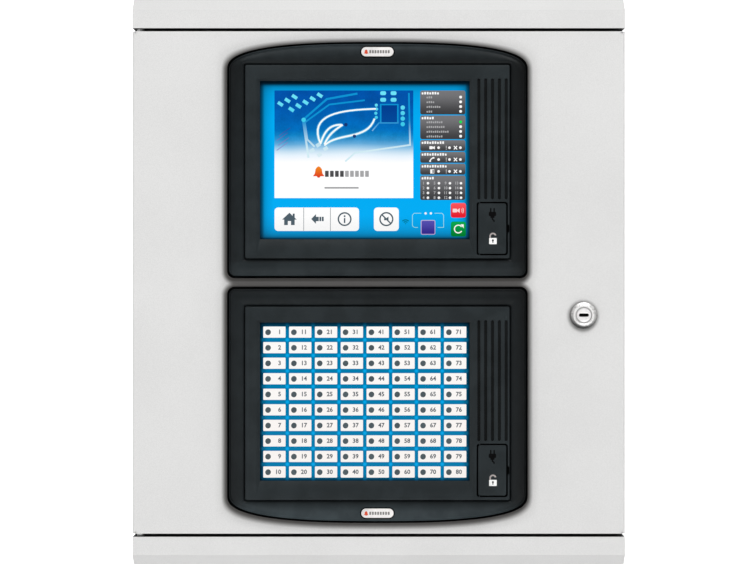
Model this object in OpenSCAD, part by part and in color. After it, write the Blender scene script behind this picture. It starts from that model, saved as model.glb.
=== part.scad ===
// Wall-mounted fire alarm control panel: a folded steel cabinet with a hinged door that
// carries a touch display module above a zone indicator module.
// Millimetres. +Z is up and the front faces -Y. The origin is the centre of the wall fixing
// pattern, on the cabinet's back face.

/* [Cabinet] */
// Width of the cabinet and of its door
cabinet_w = 404; // [400:1:440]
// Overall height, over both end caps
cabinet_h = 480; // [478:1:520]
// Depth from the wall to the front of the door
cabinet_d = 150; // [148:1:180]
// Thickness of the sheet steel
sheet = 1.5; // [1.2:0.1:1.6]
// Height of the flat strip on the front of each end cap
cap_strip = 15; // [12:0.5:18]
// Height and depth of the sloping face of each end cap
cap_bevel = 16.5; // [12:0.5:20]

/* [Door] */
// Gap between the door and each end cap
door_gap = 2.6; // [2:0.1:3]
// Depth of the door's folded edges
door_depth = 15; // [14:0.5:16]
// Radius of the door's side bends
door_bend = 2; // [1.6:0.1:3]
// Distance of the lock from the cabinet's centre line
lock_x = 167.8; // [160:0.1:169]
// Height of the lock above the centre of the door
lock_z = -26.7; // [-60:0.1:60]

/* [Display and zone modules] */
// Sideways place of both modules on the door
module_x = -1.1; // [-6:0.1:6]
// Height of each module's centre above or below the door's centre
module_z = 98.6; // [98:0.1:101]
// Width of the outer bezel
fascia_w = 245.8; // [243:0.1:250]
// How far the bezel and its inner frame stand out of the door
frame_proud = 8; // [7.8:0.1:9]
// Width of the screen window, an 8.4 inch screen
window_w = 171.2; // [168:0.1:172]
// Height of the screen window
window_h = 129.2; // [126:0.1:130]

/* [Zone labels] */
// Number of label columns
label_columns = 8; // [4:1:8]
// Number of label rows
label_rows = 10; // [5:1:10]
// Distance between label columns
label_pitch_x = 21.1; // [20:0.1:21.3]
// Distance between label rows
label_pitch_z = 12.7; // [12:0.1:12.8]

/* [Wall and cable interfaces] */
// Sideways distance between the wall fixing holes
fixing_x = 320; // [310:1:330]
// Vertical distance between the wall fixing holes
fixing_z = 380; // [376:1:384]
// Diameter of the wall fixing holes
fixing_d = 7; // [6:0.5:8]
// Diameter of a cable entry, for a 20 mm gland
entry_d = 20.5; // [20.2:0.1:21]

/* [Hidden] */

fit = 0.05;                  // radial clearance of a pin or plug that turns
part_gap = 0.1;              // radial clearance of a screw or a fixed barrel

half_w = cabinet_w / 2;
half_h = cabinet_h / 2;
front = -cabinet_d;          // the door's front face
door_inside = front + sheet;
door_rear = front + door_depth;
body_front = door_rear + 3.5;
cap_lip = half_h - cap_bevel - cap_strip;
door_half_h = cap_lip - door_gap;
floor_z = -half_h + sheet;   // the upper side of the cabinet's bottom
opening = [373, 392];        // the cabinet's opening, over the lip that meets the door's seal
lip_front = door_inside + 3.4;

// Door hinge and lock
hinge_x = -half_w + 6;
hinge_y = door_rear - 6.5;
hinge_pin_r = 3;
hinge_bush_r = 3.8;
lock_barrel_r = 9.5;
lock_plug_r = 6.5;
lock_rose_r = 11.25;         // the round rim in front of the door
lock_tail_r = 4;
cam_front = body_front + sheet + 1;
cam_thick = 2.5;

// Modules, measured from each module's centre. The inner frame is one moulding, used twice.
panel_w = 215.6;
panel_h = 157.8;
panel_front = front - frame_proud;
panel_thick = 3;
panel_rear = panel_front + panel_thick;
panel_seat = front - 1.5;    // the ledge of the bezel that the inner frame sits on
window_x = -10.3;
window_z = 1.3;
fascia_apex = 98.1;          // from the centre to the top of the bowed edge
fascia_edge = 95.1;          // from the centre to the straight edge
bow_rise = 23;               // height of the bowed edge above the sides
bow_power = 2.7;             // 2 is an ellipse, and more is squarer
fascia_corner = 6;
pocket_gap = 0.9;            // the dark line round the inner frame
cutout_w = 214;
cutout_h = 154.4;
stud_x = 115;
stud_z = [-62, 0, 62];
stud_r = 2;
stud_hole_r = 2.25;
cover_w = 216;
cover_h = 156;
cover_rear = front + 30;
cover_sheet = 1.2;

vent_x = 93.9;
vent_pitch = 5.57;
vent_count = 5;
vent_w = 2.2;
vent_top = panel_h / 2 - 11;
vent_length = 98.7;

flap_hole = [[80.9, 106.4], [-76.5, -32.8]];
flap_gap = 1.3;
flap_thick = 2;
flap_axis_x = flap_hole[0][0] + flap_gap + flap_thick / 2;
flap_axis_y = panel_front + flap_thick / 2;
flap_peg_r = 0.6;
flap_mid_z = (flap_hole[1][0] + flap_hole[1][1]) / 2;
bay = [[82.2, 104.8], [-75.0, -34.4]];
bay_wall = 1.2;
bay_floor = front + 2.5;     // the front of the service bay's floor
bay_x = (bay[0][0] + bay[0][1]) / 2;
usb_z = -46;
key_z = -63.5;
key_housing_r = 6;
key_plug_r = 4;
board_front = front + 12;
board_thick = 1.6;
glass_front = panel_rear + 0.4;
glass_thick = 1.8;

badge_w = 26.4;
badge_h = 7.6;
badge_z = 89.9;              // from a module's centre towards its bowed edge

label_size = [18.4, 9.5];
label_drop = 0.6;            // how far the labels sit below the middle of the window
led_r = 2.25;
led_from_left = 4.0;

// Inside the cabinet
chassis_y = -12;             // rear face of the chassis plate
chassis_front = chassis_y - sheet;
main_y = chassis_front - 8;  // rear face of the main board
main_front = main_y - board_thick;
chassis_x = [-185, 185];
chassis_z = [-122, 165];
main_x = [-175, 75];
main_z = [-62, 150];
supply_x = [88, 182];
supply_z = [-42, 152];
supply_front = chassis_front - 40;
battery = [151, 98, 95];     // a 12 V 12 Ah sealed lead-acid battery
battery_split = 3;           // half the space between the batteries
battery_back = -4;
terminal_pitch = 5;

// ---- Helpers ----

// A box from its ranges along x, y and z
module block(x, y, z) {
  translate([x[0], y[0], z[0]]) cube([x[1] - x[0], y[1] - y[0], z[1] - z[0]]);
}

// Extrudes a shape drawn in x and z, as the front shows it, between two depths
module plate(near, far) {
  translate([0, far, 0]) rotate([90, 0, 0]) linear_extrude(far - near) children();
}

// A cylinder along y between two depths
module rod(r, near, far, x = 0, z = 0, sides = 48) {
  translate([x, far, z]) rotate([90, 0, 0]) cylinder(r = r, h = far - near, $fn = sides);
}

module round_rect(w, h, r) {
  square([w - 2 * r, h], center = true);
  square([w, h - 2 * r], center = true);
  for (x = [-1, 1], z = [-1, 1])
    translate([x * (w / 2 - r), z * (h / 2 - r)]) circle(r, $fn = 48);
}

module rect_hole(x, z) {
  translate([x[0], z[0]]) square([x[1] - x[0], z[1] - z[0]]);
}

module slot_shape(w, h) {
  square([w - h, h], center = true);
  for (x = [-1, 1]) translate([x * (w - h) / 2, 0]) circle(h / 2, $fn = 32);
}

// Places a module's pieces: side is 1 above the door's centre and -1 below it
module on_door(side) {
  translate([module_x, 0, side * module_z]) children();
}

// ---- Cabinet ----

// Back and sides, with a front frame whose lip stands out to the door's seal
module cabinet_body() {
  color("gainsboro") difference() {
    union() {
      block([-half_w, half_w], [-sheet, 0], [floor_z, -floor_z]);
      for (side = [-1, 1]) {
        wall = side * (half_w - sheet / 2);
        block([wall - sheet / 2, wall + sheet / 2], [body_front, 0], [floor_z, -floor_z]);
      }
      plate(body_front, body_front + sheet) square([cabinet_w, -2 * floor_z], center = true);
      plate(lip_front, body_front + sheet) square(opening, center = true);
    }
    plate(lip_front - 1, body_front + sheet + 1)
      square([opening[0] - 2 * sheet, opening[1] - 2 * sheet], center = true);
    for (x = [-1, 1], z = [-1, 1])
      rod(fixing_d / 2, -sheet - 1, 1, x * fixing_x / 2, z * fixing_z / 2);
  }
}

// Outline of an end cap seen from the side, in y and z, for the cap above
function cap_outline() = [
  [body_front, cap_lip], [front, cap_lip], [front, cap_lip + cap_strip],
  [front + cap_bevel, half_h], [0, half_h], [0, half_h - sheet], [body_front, half_h - sheet],
];

// The space inside the cap's folded front
function cap_hollow() = [
  [body_front + 1, cap_lip + sheet], [front + sheet, cap_lip + sheet],
  [front + sheet, cap_lip + cap_strip - 0.4 * sheet],
  [front + cap_bevel + 0.4 * sheet, half_h - sheet], [body_front + 1, half_h - sheet],
];

// Extrudes a shape drawn in y and z along x, centred
module along_x(w) {
  rotate([90, 0, 90]) linear_extrude(w, center = true) children();
}

module end_cap() {
  difference() {
    along_x(cabinet_w) polygon(cap_outline());
    along_x(cabinet_w - 2 * sheet) polygon(cap_hollow());
    translate([hinge_x, hinge_y, cap_lip - 1]) cylinder(r = hinge_pin_r, h = sheet + 2, $fn = 48);
  }
}

entry_y = -55;
entry_pitch = 30;
entry_x = [for (i = [0 : 9]) (i - 4.5) * entry_pitch];
open_entries = [3, 6];
knockout_groove = 0.7;

module top_cap() {
  color("gainsboro") difference() {
    end_cap();
    for (i = [0 : len(entry_x) - 1]) translate([entry_x[i], entry_y, half_h])
      if (len(search(i, open_entries)) > 0)
        translate([0, 0, -sheet - 1]) cylinder(d = entry_d, h = sheet + 2, $fn = 64);
      else
        translate([0, 0, -knockout_groove]) knockout_ring();
  }
}

// The half-cut ring that lets a blank be knocked out
module knockout_ring() {
  rotate_extrude($fn = 64) translate([entry_d / 2 - 0.5, 0]) square([0.5, 2]);
}

module bottom_cap() {
  color("gainsboro") mirror([0, 0, 1]) end_cap();
}

// Each pin is pressed into a cap, with its head inside, and turns in a bush in the door
module hinge_pins() {
  color("silver") for (side = [-1, 1]) mirror([0, 0, side < 0 ? 1 : 0])
    translate([hinge_x, hinge_y, 0]) {
      translate([0, 0, door_half_h - 7])
        cylinder(r = hinge_pin_r, h = cap_lip + sheet + 7 - door_half_h, $fn = 48);
      translate([0, 0, cap_lip + sheet]) cylinder(r = hinge_pin_r + 1.2, h = 2, $fn = 48);
    }
}

// ---- Inside the cabinet ----

pillar_places = [for (x = [-175, 175], z = [-112, 157]) [x, z]];
board_pillars = [for (x = [-168, -50, 68], z = [-55, 118]) [x, z]];

module chassis_plate() {
  color("lightsteelblue") difference() {
    union() {
      block(chassis_x, [chassis_front, chassis_y], chassis_z);
      for (z = chassis_z) block(chassis_x, [chassis_front - 8, chassis_front],
                                z < 0 ? [z, z + sheet] : [z - sheet, z]);
    }
    for (p = pillar_places) rod(2.6, chassis_front - 1, chassis_y + 1, p[0], p[1]);
    for (x = [-181, 81.5], z = [-60 : 30 : 120]) plate(chassis_front - 1, chassis_y + 1)
      translate([x, z]) rotate(90) slot_shape(14, 4);
  }
}

// Pillars behind the chassis plate and under the main board, with the screws that hold each
module fixing_pillars() {
  color("goldenrod") {
    for (p = pillar_places) {
      rod(5, chassis_y, -sheet, p[0], p[1], 6);
      rod(2.5, chassis_front, chassis_y, p[0], p[1]);
      rod(4.5, chassis_front - 2.6, chassis_front, p[0], p[1]);
    }
    for (p = board_pillars) {
      rod(3, main_y, chassis_front, p[0], p[1], 6);
      rod(1.5, main_front, main_y, p[0], p[1]);
      rod(3, main_front - 2, main_front, p[0], p[1]);
    }
  }
}

module main_board() {
  color("darkgreen") difference() {
    block(main_x, [main_front, main_y], main_z);
    for (p = board_pillars) rod(1.6, main_front - 1, main_y + 1, p[0], p[1]);
  }
}

// One terminal block: its body, with a wire entry and a screw well for every way
module terminal_block(ways) {
  w = ways * terminal_pitch;
  difference() {
    block([-w / 2, w / 2], [main_front - 14, main_front], [-6, 6]);
    block([-w / 2 - 1, w / 2 + 1], [main_front - 15, main_front - 10], [3, 7]);
    for (i = [0 : ways - 1]) {
      x = (i + 0.5) * terminal_pitch - w / 2;
      rod(1.5, main_front - 15, main_front - 8, x, -1, 24);
      block([x - 1.6, x + 1.6], [main_front - 8, main_front - 3], [1, 7]);
    }
  }
}

terminal_blocks = 5;
terminal_step = 46;

module field_terminals() {
  color("mediumseagreen") for (i = [0 : terminal_blocks - 1])
    translate([main_x[0] + 26 + i * terminal_step, 0, main_z[1] - 8]) terminal_block(8);
}

loop_x = [-165, -70];
loop_z = [18, 102];
loop_y = main_front - 12;

module loop_card() {
  color("seagreen") {
    block(loop_x, [loop_y - board_thick, loop_y], loop_z);
    for (x = [loop_x[0] + 5, loop_x[1] - 5], z = [loop_z[0] + 5, loop_z[1] - 5])
      rod(2.5, loop_y, main_front, x, z, 6);
    block([loop_x[0] + 12, loop_x[1] - 12], [loop_y, main_front], [loop_z[0] + 2, loop_z[0] + 8]);
    for (i = [0 : 3]) block([loop_x[0] + 14 + i * 19, loop_x[0] + 26 + i * 19],
                            [loop_y - board_thick - 9, loop_y - board_thick], [66, 82]);
  }
}

module board_relays() {
  color("orange") for (i = [0 : 3])
    block([-52 + i * 24, -33 + i * 24], [main_front - 15.5, main_front], [84, 100]);
}

// Each capacitor's x, z, radius and height
capacitor_places = [[48, -30, 9, 26], [26, -32, 8, 22], [6, -34, 6.3, 16],
                    [56, 4, 6.3, 16], [36, 2, 5, 12]];

module board_capacitors() {
  color("midnightblue") for (c = capacitor_places) rod(c[2], main_front - c[3], main_front, c[0], c[1]);
}

// Square or oblong packages on the main board: x, z, width, height, thickness
chip_places = [[-20, 40, 30, 30, 2.4], [22, 50, 18, 24, 2], [-58, -20, 24, 16, 2],
               [-95, -24, 12, 9, 1.8], [-118, -24, 12, 9, 1.8], [-141, -24, 12, 9, 1.8],
               [54, 44, 14, 14, 2.2]];

module board_chips() {
  color("dimgray") for (c = chip_places)
    block([c[0] - c[2] / 2, c[0] + c[2] / 2], [main_front - c[4], main_front],
          [c[1] - c[3] / 2, c[1] + c[3] / 2]);
}

header_places = [[-140, -46], [-84, -46], [-28, -46]];

// Shrouded headers for the leads to the door modules: x, z
module ribbon_headers() {
  color("black") for (h = header_places) translate([h[0], 0, h[1]]) difference() {
    block([-22, 22], [main_front - 9, main_front], [-4.5, 4.5]);
    block([-20.5, 20.5], [main_front - 10, main_front - 2], [-3.2, 3.2]);
    block([-2.2, 2.2], [main_front - 10, main_front - 2], [-6, 0]);
  }
}

supply_sheet = 1.2;
terminal_bay = 22;           // height of the open bay below the supply's closed part

// The power supply's slotted case, closed over its circuits and open below for the terminals
module power_supply_case() {
  inner_x = [supply_x[0] + supply_sheet, supply_x[1] - supply_sheet];
  color("lightgray") difference() {
    block(supply_x, [supply_front, chassis_front], supply_z);
    block(inner_x, [supply_front + supply_sheet, chassis_front - supply_sheet],
          [supply_z[0] + terminal_bay + supply_sheet, supply_z[1] - supply_sheet]);
    block(inner_x, [supply_front - 1, chassis_front - supply_sheet],
          [supply_z[0] - 1, supply_z[0] + terminal_bay]);
    for (row = [0 : 4], col = [0 : 8]) plate(supply_front - 1, supply_front + 2)
      translate([supply_x[0] + 15 + col * 8, supply_z[0] + 66 + row * 18]) rotate(90) slot_shape(12, 3.4);
  }
}

module power_supply_terminals() {
  color("dimgray") difference() {
    block([supply_x[0] + 8, supply_x[1] - 8], [chassis_front - 17, chassis_front - supply_sheet],
          [supply_z[0] + 2, supply_z[0] + 17]);
    for (i = [0 : 8]) {
      x = supply_x[0] + 12.5 + i * 8.5;
      block([x - 2.9, x + 2.9], [chassis_front - 18, chassis_front - 9], [supply_z[0] + 1, supply_z[0] + 12]);
    }
  }
}

mains_x = [104, 168];
mains_z = [-96, -66];

// The mains terminals, with a round fuse carrier beside them
module mains_terminal_block() {
  color("ivory") {
    difference() {
      block(mains_x, [chassis_front - 20, chassis_front], mains_z);
      for (i = [0 : 3]) {
        x = mains_x[0] + 8 + i * 12;
        rod(3, chassis_front - 21, chassis_front - 10, x, mains_z[0] + 20, 32);
        block([x - 3, x + 3], [chassis_front - 14, chassis_front - 5], [mains_z[0] - 1, mains_z[0] + 8]);
      }
    }
    rod(5.5, chassis_front - 32, chassis_front - 20, mains_x[1] - 8, mains_z[0] + 15);
  }
}

module battery_case(x) {
  difference() {
    block([x, x + battery[0]], [battery_back - battery[1], battery_back], [floor_z, floor_z + battery[2]]);
    for (side = [0, 1]) block([x + side * (battery[0] - 24) + 2, x + side * (battery[0] - 24) + 22],
                              [battery_back - 22, battery_back - 6],
                              [floor_z + battery[2] - 3, floor_z + battery[2] + 1]);
  }
}

module battery_left() { color("darkslategray") battery_case(-battery_split - battery[0]); }
module battery_right() { color("darkslategray") battery_case(battery_split); }

// Spade terminals, standing in the wells on top of the batteries
module battery_terminals() {
  color("silver") for (x = [-battery_split - battery[0], battery_split], side = [0, 1])
    block([x + side * (battery[0] - 24) + 9, x + side * (battery[0] - 24) + 15.3],
          [battery_back - 14.4, battery_back - 13.6],
          [floor_z + battery[2] - 3, floor_z + battery[2] + 5]);
}

strap_x = battery_split + battery[0] + 1;
strap_z = [floor_z + 58, floor_z + 78];

// A folded strap over the batteries' fronts, with its feet on the back of the cabinet
module battery_strap() {
  color("silver") {
    block([-strap_x - 1.5, strap_x + 1.5],
          [battery_back - battery[1] - 2, battery_back - battery[1] - 0.5], strap_z);
    for (side = [-1, 1]) {
      leg = side * (strap_x + 0.75);
      foot = side * (strap_x + 9);
      block([leg - 0.75, leg + 0.75], [battery_back - battery[1] - 2, -sheet], strap_z);
      difference() {
        block([foot - 9, foot + 9], [-3, -sheet], strap_z);
        rod(2.5, -4, 0, side * (strap_x + 11), (strap_z[0] + strap_z[1]) / 2);
      }
    }
  }
}

earth_places = [[-190, -150], [-190, -130], [190, -130]];

module earth_studs() {
  color("gold") for (p = earth_places) {
    rod(3, -20, -sheet, p[0], p[1]);
    rod(5.8, -6.5, -sheet, p[0], p[1], 6);
  }
}

// ---- Door ----

// The door's folded section, in x and y: a front with a return at each side
module door_section() {
  difference() {
    union() {
      translate([-half_w + door_bend, front]) square([cabinet_w - 2 * door_bend, door_depth]);
      translate([-half_w, front + door_bend]) square([cabinet_w, door_depth - door_bend]);
      for (side = [-1, 1])
        translate([side * (half_w - door_bend), front + door_bend]) circle(door_bend, $fn = 48);
    }
    translate([-half_w + sheet, door_inside]) square([cabinet_w - 2 * sheet, door_depth]);
  }
}

module door_panel() {
  color("gainsboro") difference() {
    union() {
      translate([0, 0, -door_half_h]) linear_extrude(2 * door_half_h) door_section();
      for (side = [-1, 1]) {
        z = side * (door_half_h - sheet / 2);
        block([-half_w + sheet - 0.2, half_w - sheet + 0.2], [door_inside - 0.2, door_rear],
              [z - sheet / 2, z + sheet / 2]);
      }
    }
    for (side = [-1, 1]) {
      on_door(side) plate(front - 1, door_inside + 1) square([cutout_w, cutout_h], center = true);
      on_door(side) for (x = [-1, 1], z = stud_z)
        rod(stud_hole_r, front - 1, door_inside + 1, x * stud_x, z, 32);
      translate([hinge_x, hinge_y, side * door_half_h])
        cylinder(r = hinge_bush_r, h = 4, center = true, $fn = 48);
      for (x = [-1, 1])
        rod(0.7, front - 1, door_inside - 0.2, x * (half_w - 2.6), side * (door_half_h - 1.1), 24);
    }
    rod(lock_barrel_r + part_gap, front - 1, door_inside + 1, lock_x, lock_z);
  }
}

seal_w = 8;
seal_thick = 3;

module door_seal() {
  color("dimgray") plate(door_inside, door_inside + seal_thick) difference() {
    square([opening[0] + seal_w, opening[1] + seal_w], center = true);
    square([opening[0] - seal_w, opening[1] - seal_w], center = true);
  }
}

module hinge_bushes() {
  color("white") for (side = [-1, 1]) mirror([0, 0, side < 0 ? 1 : 0])
    translate([hinge_x, hinge_y, door_half_h - 6]) difference() {
      cylinder(r = hinge_bush_r, h = 6, $fn = 48);
      translate([0, 0, -1]) cylinder(r = hinge_pin_r + fit, h = 8, $fn = 48);
    }
}

rose_proud = 4.6;

// Rings of the lock's front, as a radius at each depth, turned about the lock's axis
function rose_profile() = [
  [lock_plug_r + fit, 0], [lock_rose_r, 0], [lock_rose_r, 1.2], [10.6, 2.6], [9.4, 3.8],
  [8.6, rose_proud], [7.4, rose_proud], [lock_plug_r + fit, rose_proud - 0.7],
];

module lock_housing() {
  color("silver") translate([lock_x, 0, lock_z]) {
    translate([0, front, 0]) rotate([90, 0, 0]) rotate_extrude($fn = 72) polygon(rose_profile());
    difference() {
      rod(lock_barrel_r, front, cam_front - 1);
      rod(lock_plug_r + fit, front - 1, cam_front + 1);
    }
  }
}

module lock_nut() {
  color("silver") translate([lock_x, 0, lock_z]) difference() {
    rod(14, door_inside, door_inside + 4, 0, 0, 6);
    rod(lock_barrel_r + part_gap, door_inside - 1, door_inside + 5);
  }
}

key_slot = [7.8, 2.4];

module lock_plug() {
  color("lightgray") translate([lock_x, 0, lock_z]) difference() {
    union() {
      rod(lock_plug_r, front - rose_proud + 0.4, cam_front - 0.6);
      rod(lock_tail_r, cam_front - 0.6, cam_front + cam_thick);
    }
    plate(front - rose_proud - 1, front - rose_proud + 4) slot_shape(key_slot[0], key_slot[1]);
  }
}

cam_reach = 30;

// The cam, upright when the door is free, with the nut that holds it
module lock_cam() {
  color("silver") translate([lock_x, 0, lock_z]) {
    difference() {
      plate(cam_front, cam_front + cam_thick) {
        circle(9, $fn = 48);
        translate([-8, 0]) square([16, cam_reach]);
      }
      rod(lock_tail_r, cam_front - 1, cam_front + cam_thick + 1);
    }
    rod(6.5, cam_front + cam_thick, cam_front + cam_thick + 3.5, 0, 0, 6);
  }
}

// ---- Modules ----

// The bezel's outline in x and z, drawn in by inset, with its bowed edge up
function bow_edge(a, rise, side_z) = [
  for (t = [0 : 5 : 180])
    [a * sign(cos(t)) * pow(abs(cos(t)), 2 / bow_power), side_z + rise * pow(abs(sin(t)), 2 / bow_power)]
];
function fascia_outline(inset) =
  let (a = fascia_w / 2 - inset, low = -fascia_edge + inset, r = fascia_corner - inset / 2)
  concat(
    bow_edge(a, bow_rise - inset / 3, fascia_apex - bow_rise - inset * 2 / 3),
    [for (t = [180 : 15 : 270]) [-a + r + r * cos(t), low + r + r * sin(t)]],
    [for (t = [270 : 15 : 360]) [a - r + r * cos(t), low + r + r * sin(t)]]
  );

pocket = [panel_w + 2 * pocket_gap, panel_h + 2 * pocket_gap];
rim_w = 2.6;
valley_front = front - 5;
rim_front = front - 6;

// The bezel of a module: a raised rim, the sunk face inside it, and studs for the nuts
module fascia(side) {
  on_door(side) {
    mirror([0, 0, side < 0 ? 1 : 0]) difference() {
      plate(rim_front, front) polygon(fascia_outline(0));
      plate(rim_front - 1, valley_front) polygon(fascia_outline(rim_w));
      plate(rim_front - 1, panel_seat) square(pocket, center = true);
      plate(panel_seat - 1, front + 1) square([cutout_w, cutout_h], center = true);
      plate(valley_front - 1, valley_front + 1.2) translate([0, badge_z]) slot_shape(badge_w + 2, badge_h + 2);
    }
    for (x = [-1, 1], z = stud_z) rod(stud_r, front, front + 9, x * stud_x, z, 32);
  }
}

module badge(side) {
  color("white") on_door(side) plate(valley_front - 0.6, valley_front + 1.2)
    translate([0, side * badge_z]) slot_shape(badge_w, badge_h);
}

window_range = [[window_x - window_w / 2, window_x + window_w / 2],
                [window_z - window_h / 2, window_z + window_h / 2]];

module vent_slots() {
  for (i = [0 : vent_count - 1])
    translate([vent_x + (i - (vent_count - 1) / 2) * vent_pitch, vent_top - vent_length / 2])
      rotate(90) slot_shape(vent_length, vent_w);
}

finger_notch = [1.2, 6.6];
frame_wall = 1.2;
bevel_depth = 1.8;
bevel_side = 2.8;
bevel_top = 1.9;
bevel_low = 11.5;            // the long slope below the window

// The sloping surround of the window, shallow at the top and long at the bottom
module window_bevel() {
  x = window_range[0];
  z = window_range[1];
  intersection() {
    along_x(400) polygon([[panel_front - 1, z[0] - bevel_low * (1 + 1 / bevel_depth)],
                          [panel_front + bevel_depth, z[0]], [panel_front + bevel_depth, z[1]],
                          [panel_front - 1, z[1] + bevel_top * (1 + 1 / bevel_depth)]]);
    linear_extrude(400, center = true)
      polygon([[x[0] - bevel_side * (1 + 1 / bevel_depth), panel_front - 1],
               [x[0], panel_front + bevel_depth], [x[1], panel_front + bevel_depth],
               [x[1] + bevel_side * (1 + 1 / bevel_depth), panel_front - 1]]);
  }
}

// The raised frame round the screen, with the vent slots and the opening for the flap
module inner_frame(side) {
  color("darkslategray") on_door(side) difference() {
    plate(panel_front, panel_seat) square([panel_w, panel_h], center = true);
    plate(panel_rear, panel_seat + 1)
      square([panel_w - 2 * frame_wall, panel_h - 2 * frame_wall], center = true);
    window_bevel();
    plate(panel_front - 1, panel_rear + 1) {
      rect_hole(window_range[0], window_range[1]);
      vent_slots();
      rect_hole(flap_hole[0], flap_hole[1]);
    }
    plate(panel_front - 1, panel_front + flap_thick)
      translate([flap_hole[0][1], flap_mid_z])
        square([2 * finger_notch[0], finger_notch[1]], center = true);
    translate([flap_axis_x, flap_axis_y, flap_mid_z])
      cylinder(r = flap_peg_r + fit, h = flap_hole[1][1] - flap_hole[1][0] + 2.4, center = true, $fn = 32);
  }
}

module vent_gauze(side) {
  color("black") on_door(side) plate(panel_rear, panel_rear + 0.5)
    rect_hole([81.2, 106.4], [vent_top - vent_length - 1.4, vent_top + 1.5]);
}

// The flap over the service bay, in its closed place, turning on pegs at its left edge
module flap(side) {
  right = flap_hole[0][1] - flap_gap;
  low = flap_hole[1][0] + flap_gap;
  high = flap_hole[1][1] - flap_gap;
  color("darkslategray") on_door(side) {
    block([flap_axis_x, right], [panel_front, panel_front + flap_thick], [low, high]);
    translate([flap_axis_x, flap_axis_y, low]) cylinder(d = flap_thick, h = high - low, $fn = 48);
    translate([flap_axis_x, flap_axis_y, low - flap_gap - 1])
      cylinder(r = flap_peg_r, h = high - low + 2 * flap_gap + 2, $fn = 32);
  }
}

usb_size = [13.2, 5.8];

// The cup behind the flap, with holes in its floor for the USB socket and the key switch
module service_bay(side) {
  color("black") on_door(side) difference() {
    block([bay[0][0] - bay_wall, bay[0][1] + bay_wall], [panel_rear, bay_floor + 1.5],
          [bay[1][0] - bay_wall, bay[1][1] + bay_wall]);
    block(bay[0], [panel_rear - 1, bay_floor], bay[1]);
    plate(bay_floor - 1, bay_floor + 2) translate([bay_x, usb_z])
      square([usb_size[0] + 0.4, usb_size[1] + 0.4], center = true);
    rod(key_housing_r + part_gap, bay_floor - 1, bay_floor + 2, bay_x, key_z);
  }
}

socket_front = front + 0.5;  // front of the USB socket and of the key switch

module usb_socket(side) {
  color("silver") on_door(side) translate([bay_x, 0, usb_z]) {
    difference() {
      plate(socket_front, board_front) square(usb_size, center = true);
      plate(socket_front - 1, board_front - 1.5)
        square([usb_size[0] - 0.8, usb_size[1] - 0.8], center = true);
    }
    block([-5.6, 5.6], [socket_front + 0.8, board_front - 1.5], [-0.2, 1.6]);
  }
}

module key_housing(side) {
  color("silver") on_door(side) difference() {
    rod(key_housing_r, socket_front, board_front, bay_x, key_z);
    rod(key_plug_r + fit, socket_front - 1, board_front - 1.5, bay_x, key_z);
  }
}

module key_plug(side) {
  color("lightgray") on_door(side) difference() {
    rod(key_plug_r, socket_front - 0.3, board_front - 1.6, bay_x, key_z);
    plate(socket_front - 1, socket_front + 3) translate([bay_x, key_z]) rotate(90) slot_shape(5.4, 1.4);
  }
}

// The folded steel cover behind a module. Its flange is clamped to the door by the nuts.
module rear_cover(side) {
  color("silver") on_door(side) {
    difference() {
      union() {
        plate(door_inside, door_inside + cover_sheet) square([240, 164], center = true);
        plate(door_inside, cover_rear) square([cover_w, cover_h], center = true);
      }
      plate(door_inside - 1, cover_rear - cover_sheet)
        square([cover_w - 2 * cover_sheet, cover_h - 2 * cover_sheet], center = true);
      for (x = [-1, 1], z = stud_z) rod(stud_hole_r, door_inside - 1, door_inside + 3, x * stud_x, z, 32);
      plate(cover_rear - 3, cover_rear + 1) for (i = [0 : 8])
        translate([-60 + i * 15, 38]) rotate(90) slot_shape(26, 4);
      plate(cover_rear - 3, cover_rear + 1) rect_hole([-30, 30], [-62, -46]);
    }
    for (p = cover_posts) rod(3, board_front + board_thick, cover_rear - cover_sheet, p[0], p[1], 32);
  }
}

cover_posts = [for (x = [-94, 94], z = [-64, 64]) [x, z]];

module module_nuts(side) {
  color("silver") on_door(side) for (x = [-1, 1], z = stud_z) difference() {
    union() {
      rod(5, door_inside + cover_sheet, door_inside + cover_sheet + 0.8, x * stud_x, z);
      rod(4, door_inside + cover_sheet + 0.8, door_inside + cover_sheet + 4, x * stud_x, z, 6);
    }
    rod(stud_r + part_gap, door_inside, door_inside + 8, x * stud_x, z, 32);
  }
}

module touch_glass() {
  color("deepskyblue") on_door(1) plate(glass_front, glass_front + glass_thick)
    translate([window_x, window_z]) square([window_w + 7, window_h + 7], center = true);
}

module lcd_unit() {
  color("silver") on_door(1) plate(glass_front + glass_thick, glass_front + glass_thick + 8)
    translate([window_x, window_z]) square([window_w + 8.6, window_h + 9], center = true);
}

module module_board(x, z) {
  plate(board_front, board_front + board_thick) rect_hole(x, z);
}

// The display's circuit board, with its connectors and main parts on the rear
module display_board() {
  rear = board_front + board_thick;
  color("darkgreen") on_door(1) {
    module_board([-101, 102], [-71, 71]);
    block([-25, 25], [rear, rear + 9], [-60, -50]);
    block([-70, -42], [rear, rear + 2.4], [-10, 18]);
    block([0, 22], [rear, rear + 2], [8, 22]);
    for (x = [44, 62]) rod(5, rear, rear + 11, x, 18);
  }
}

module sounder() {
  color("black") on_door(1) difference() {
    union() {
      rod(11.5, panel_rear + 0.5, panel_rear + 9.5, vent_x, 22);
      rod(8, panel_rear + 9.5, board_front, vent_x, 22);
    }
    rod(2, panel_rear, panel_rear + 2.5, vent_x, 22, 24);
  }
}

label_places = [
  for (c = [0 : label_columns - 1], r = [0 : label_rows - 1])
    [window_x + (c - (label_columns - 1) / 2) * label_pitch_x,
     window_z - label_drop - (r - (label_rows - 1) / 2) * label_pitch_z]
];
led_x = led_from_left - label_size[0] / 2;
label_front = glass_front - 0.5;

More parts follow.
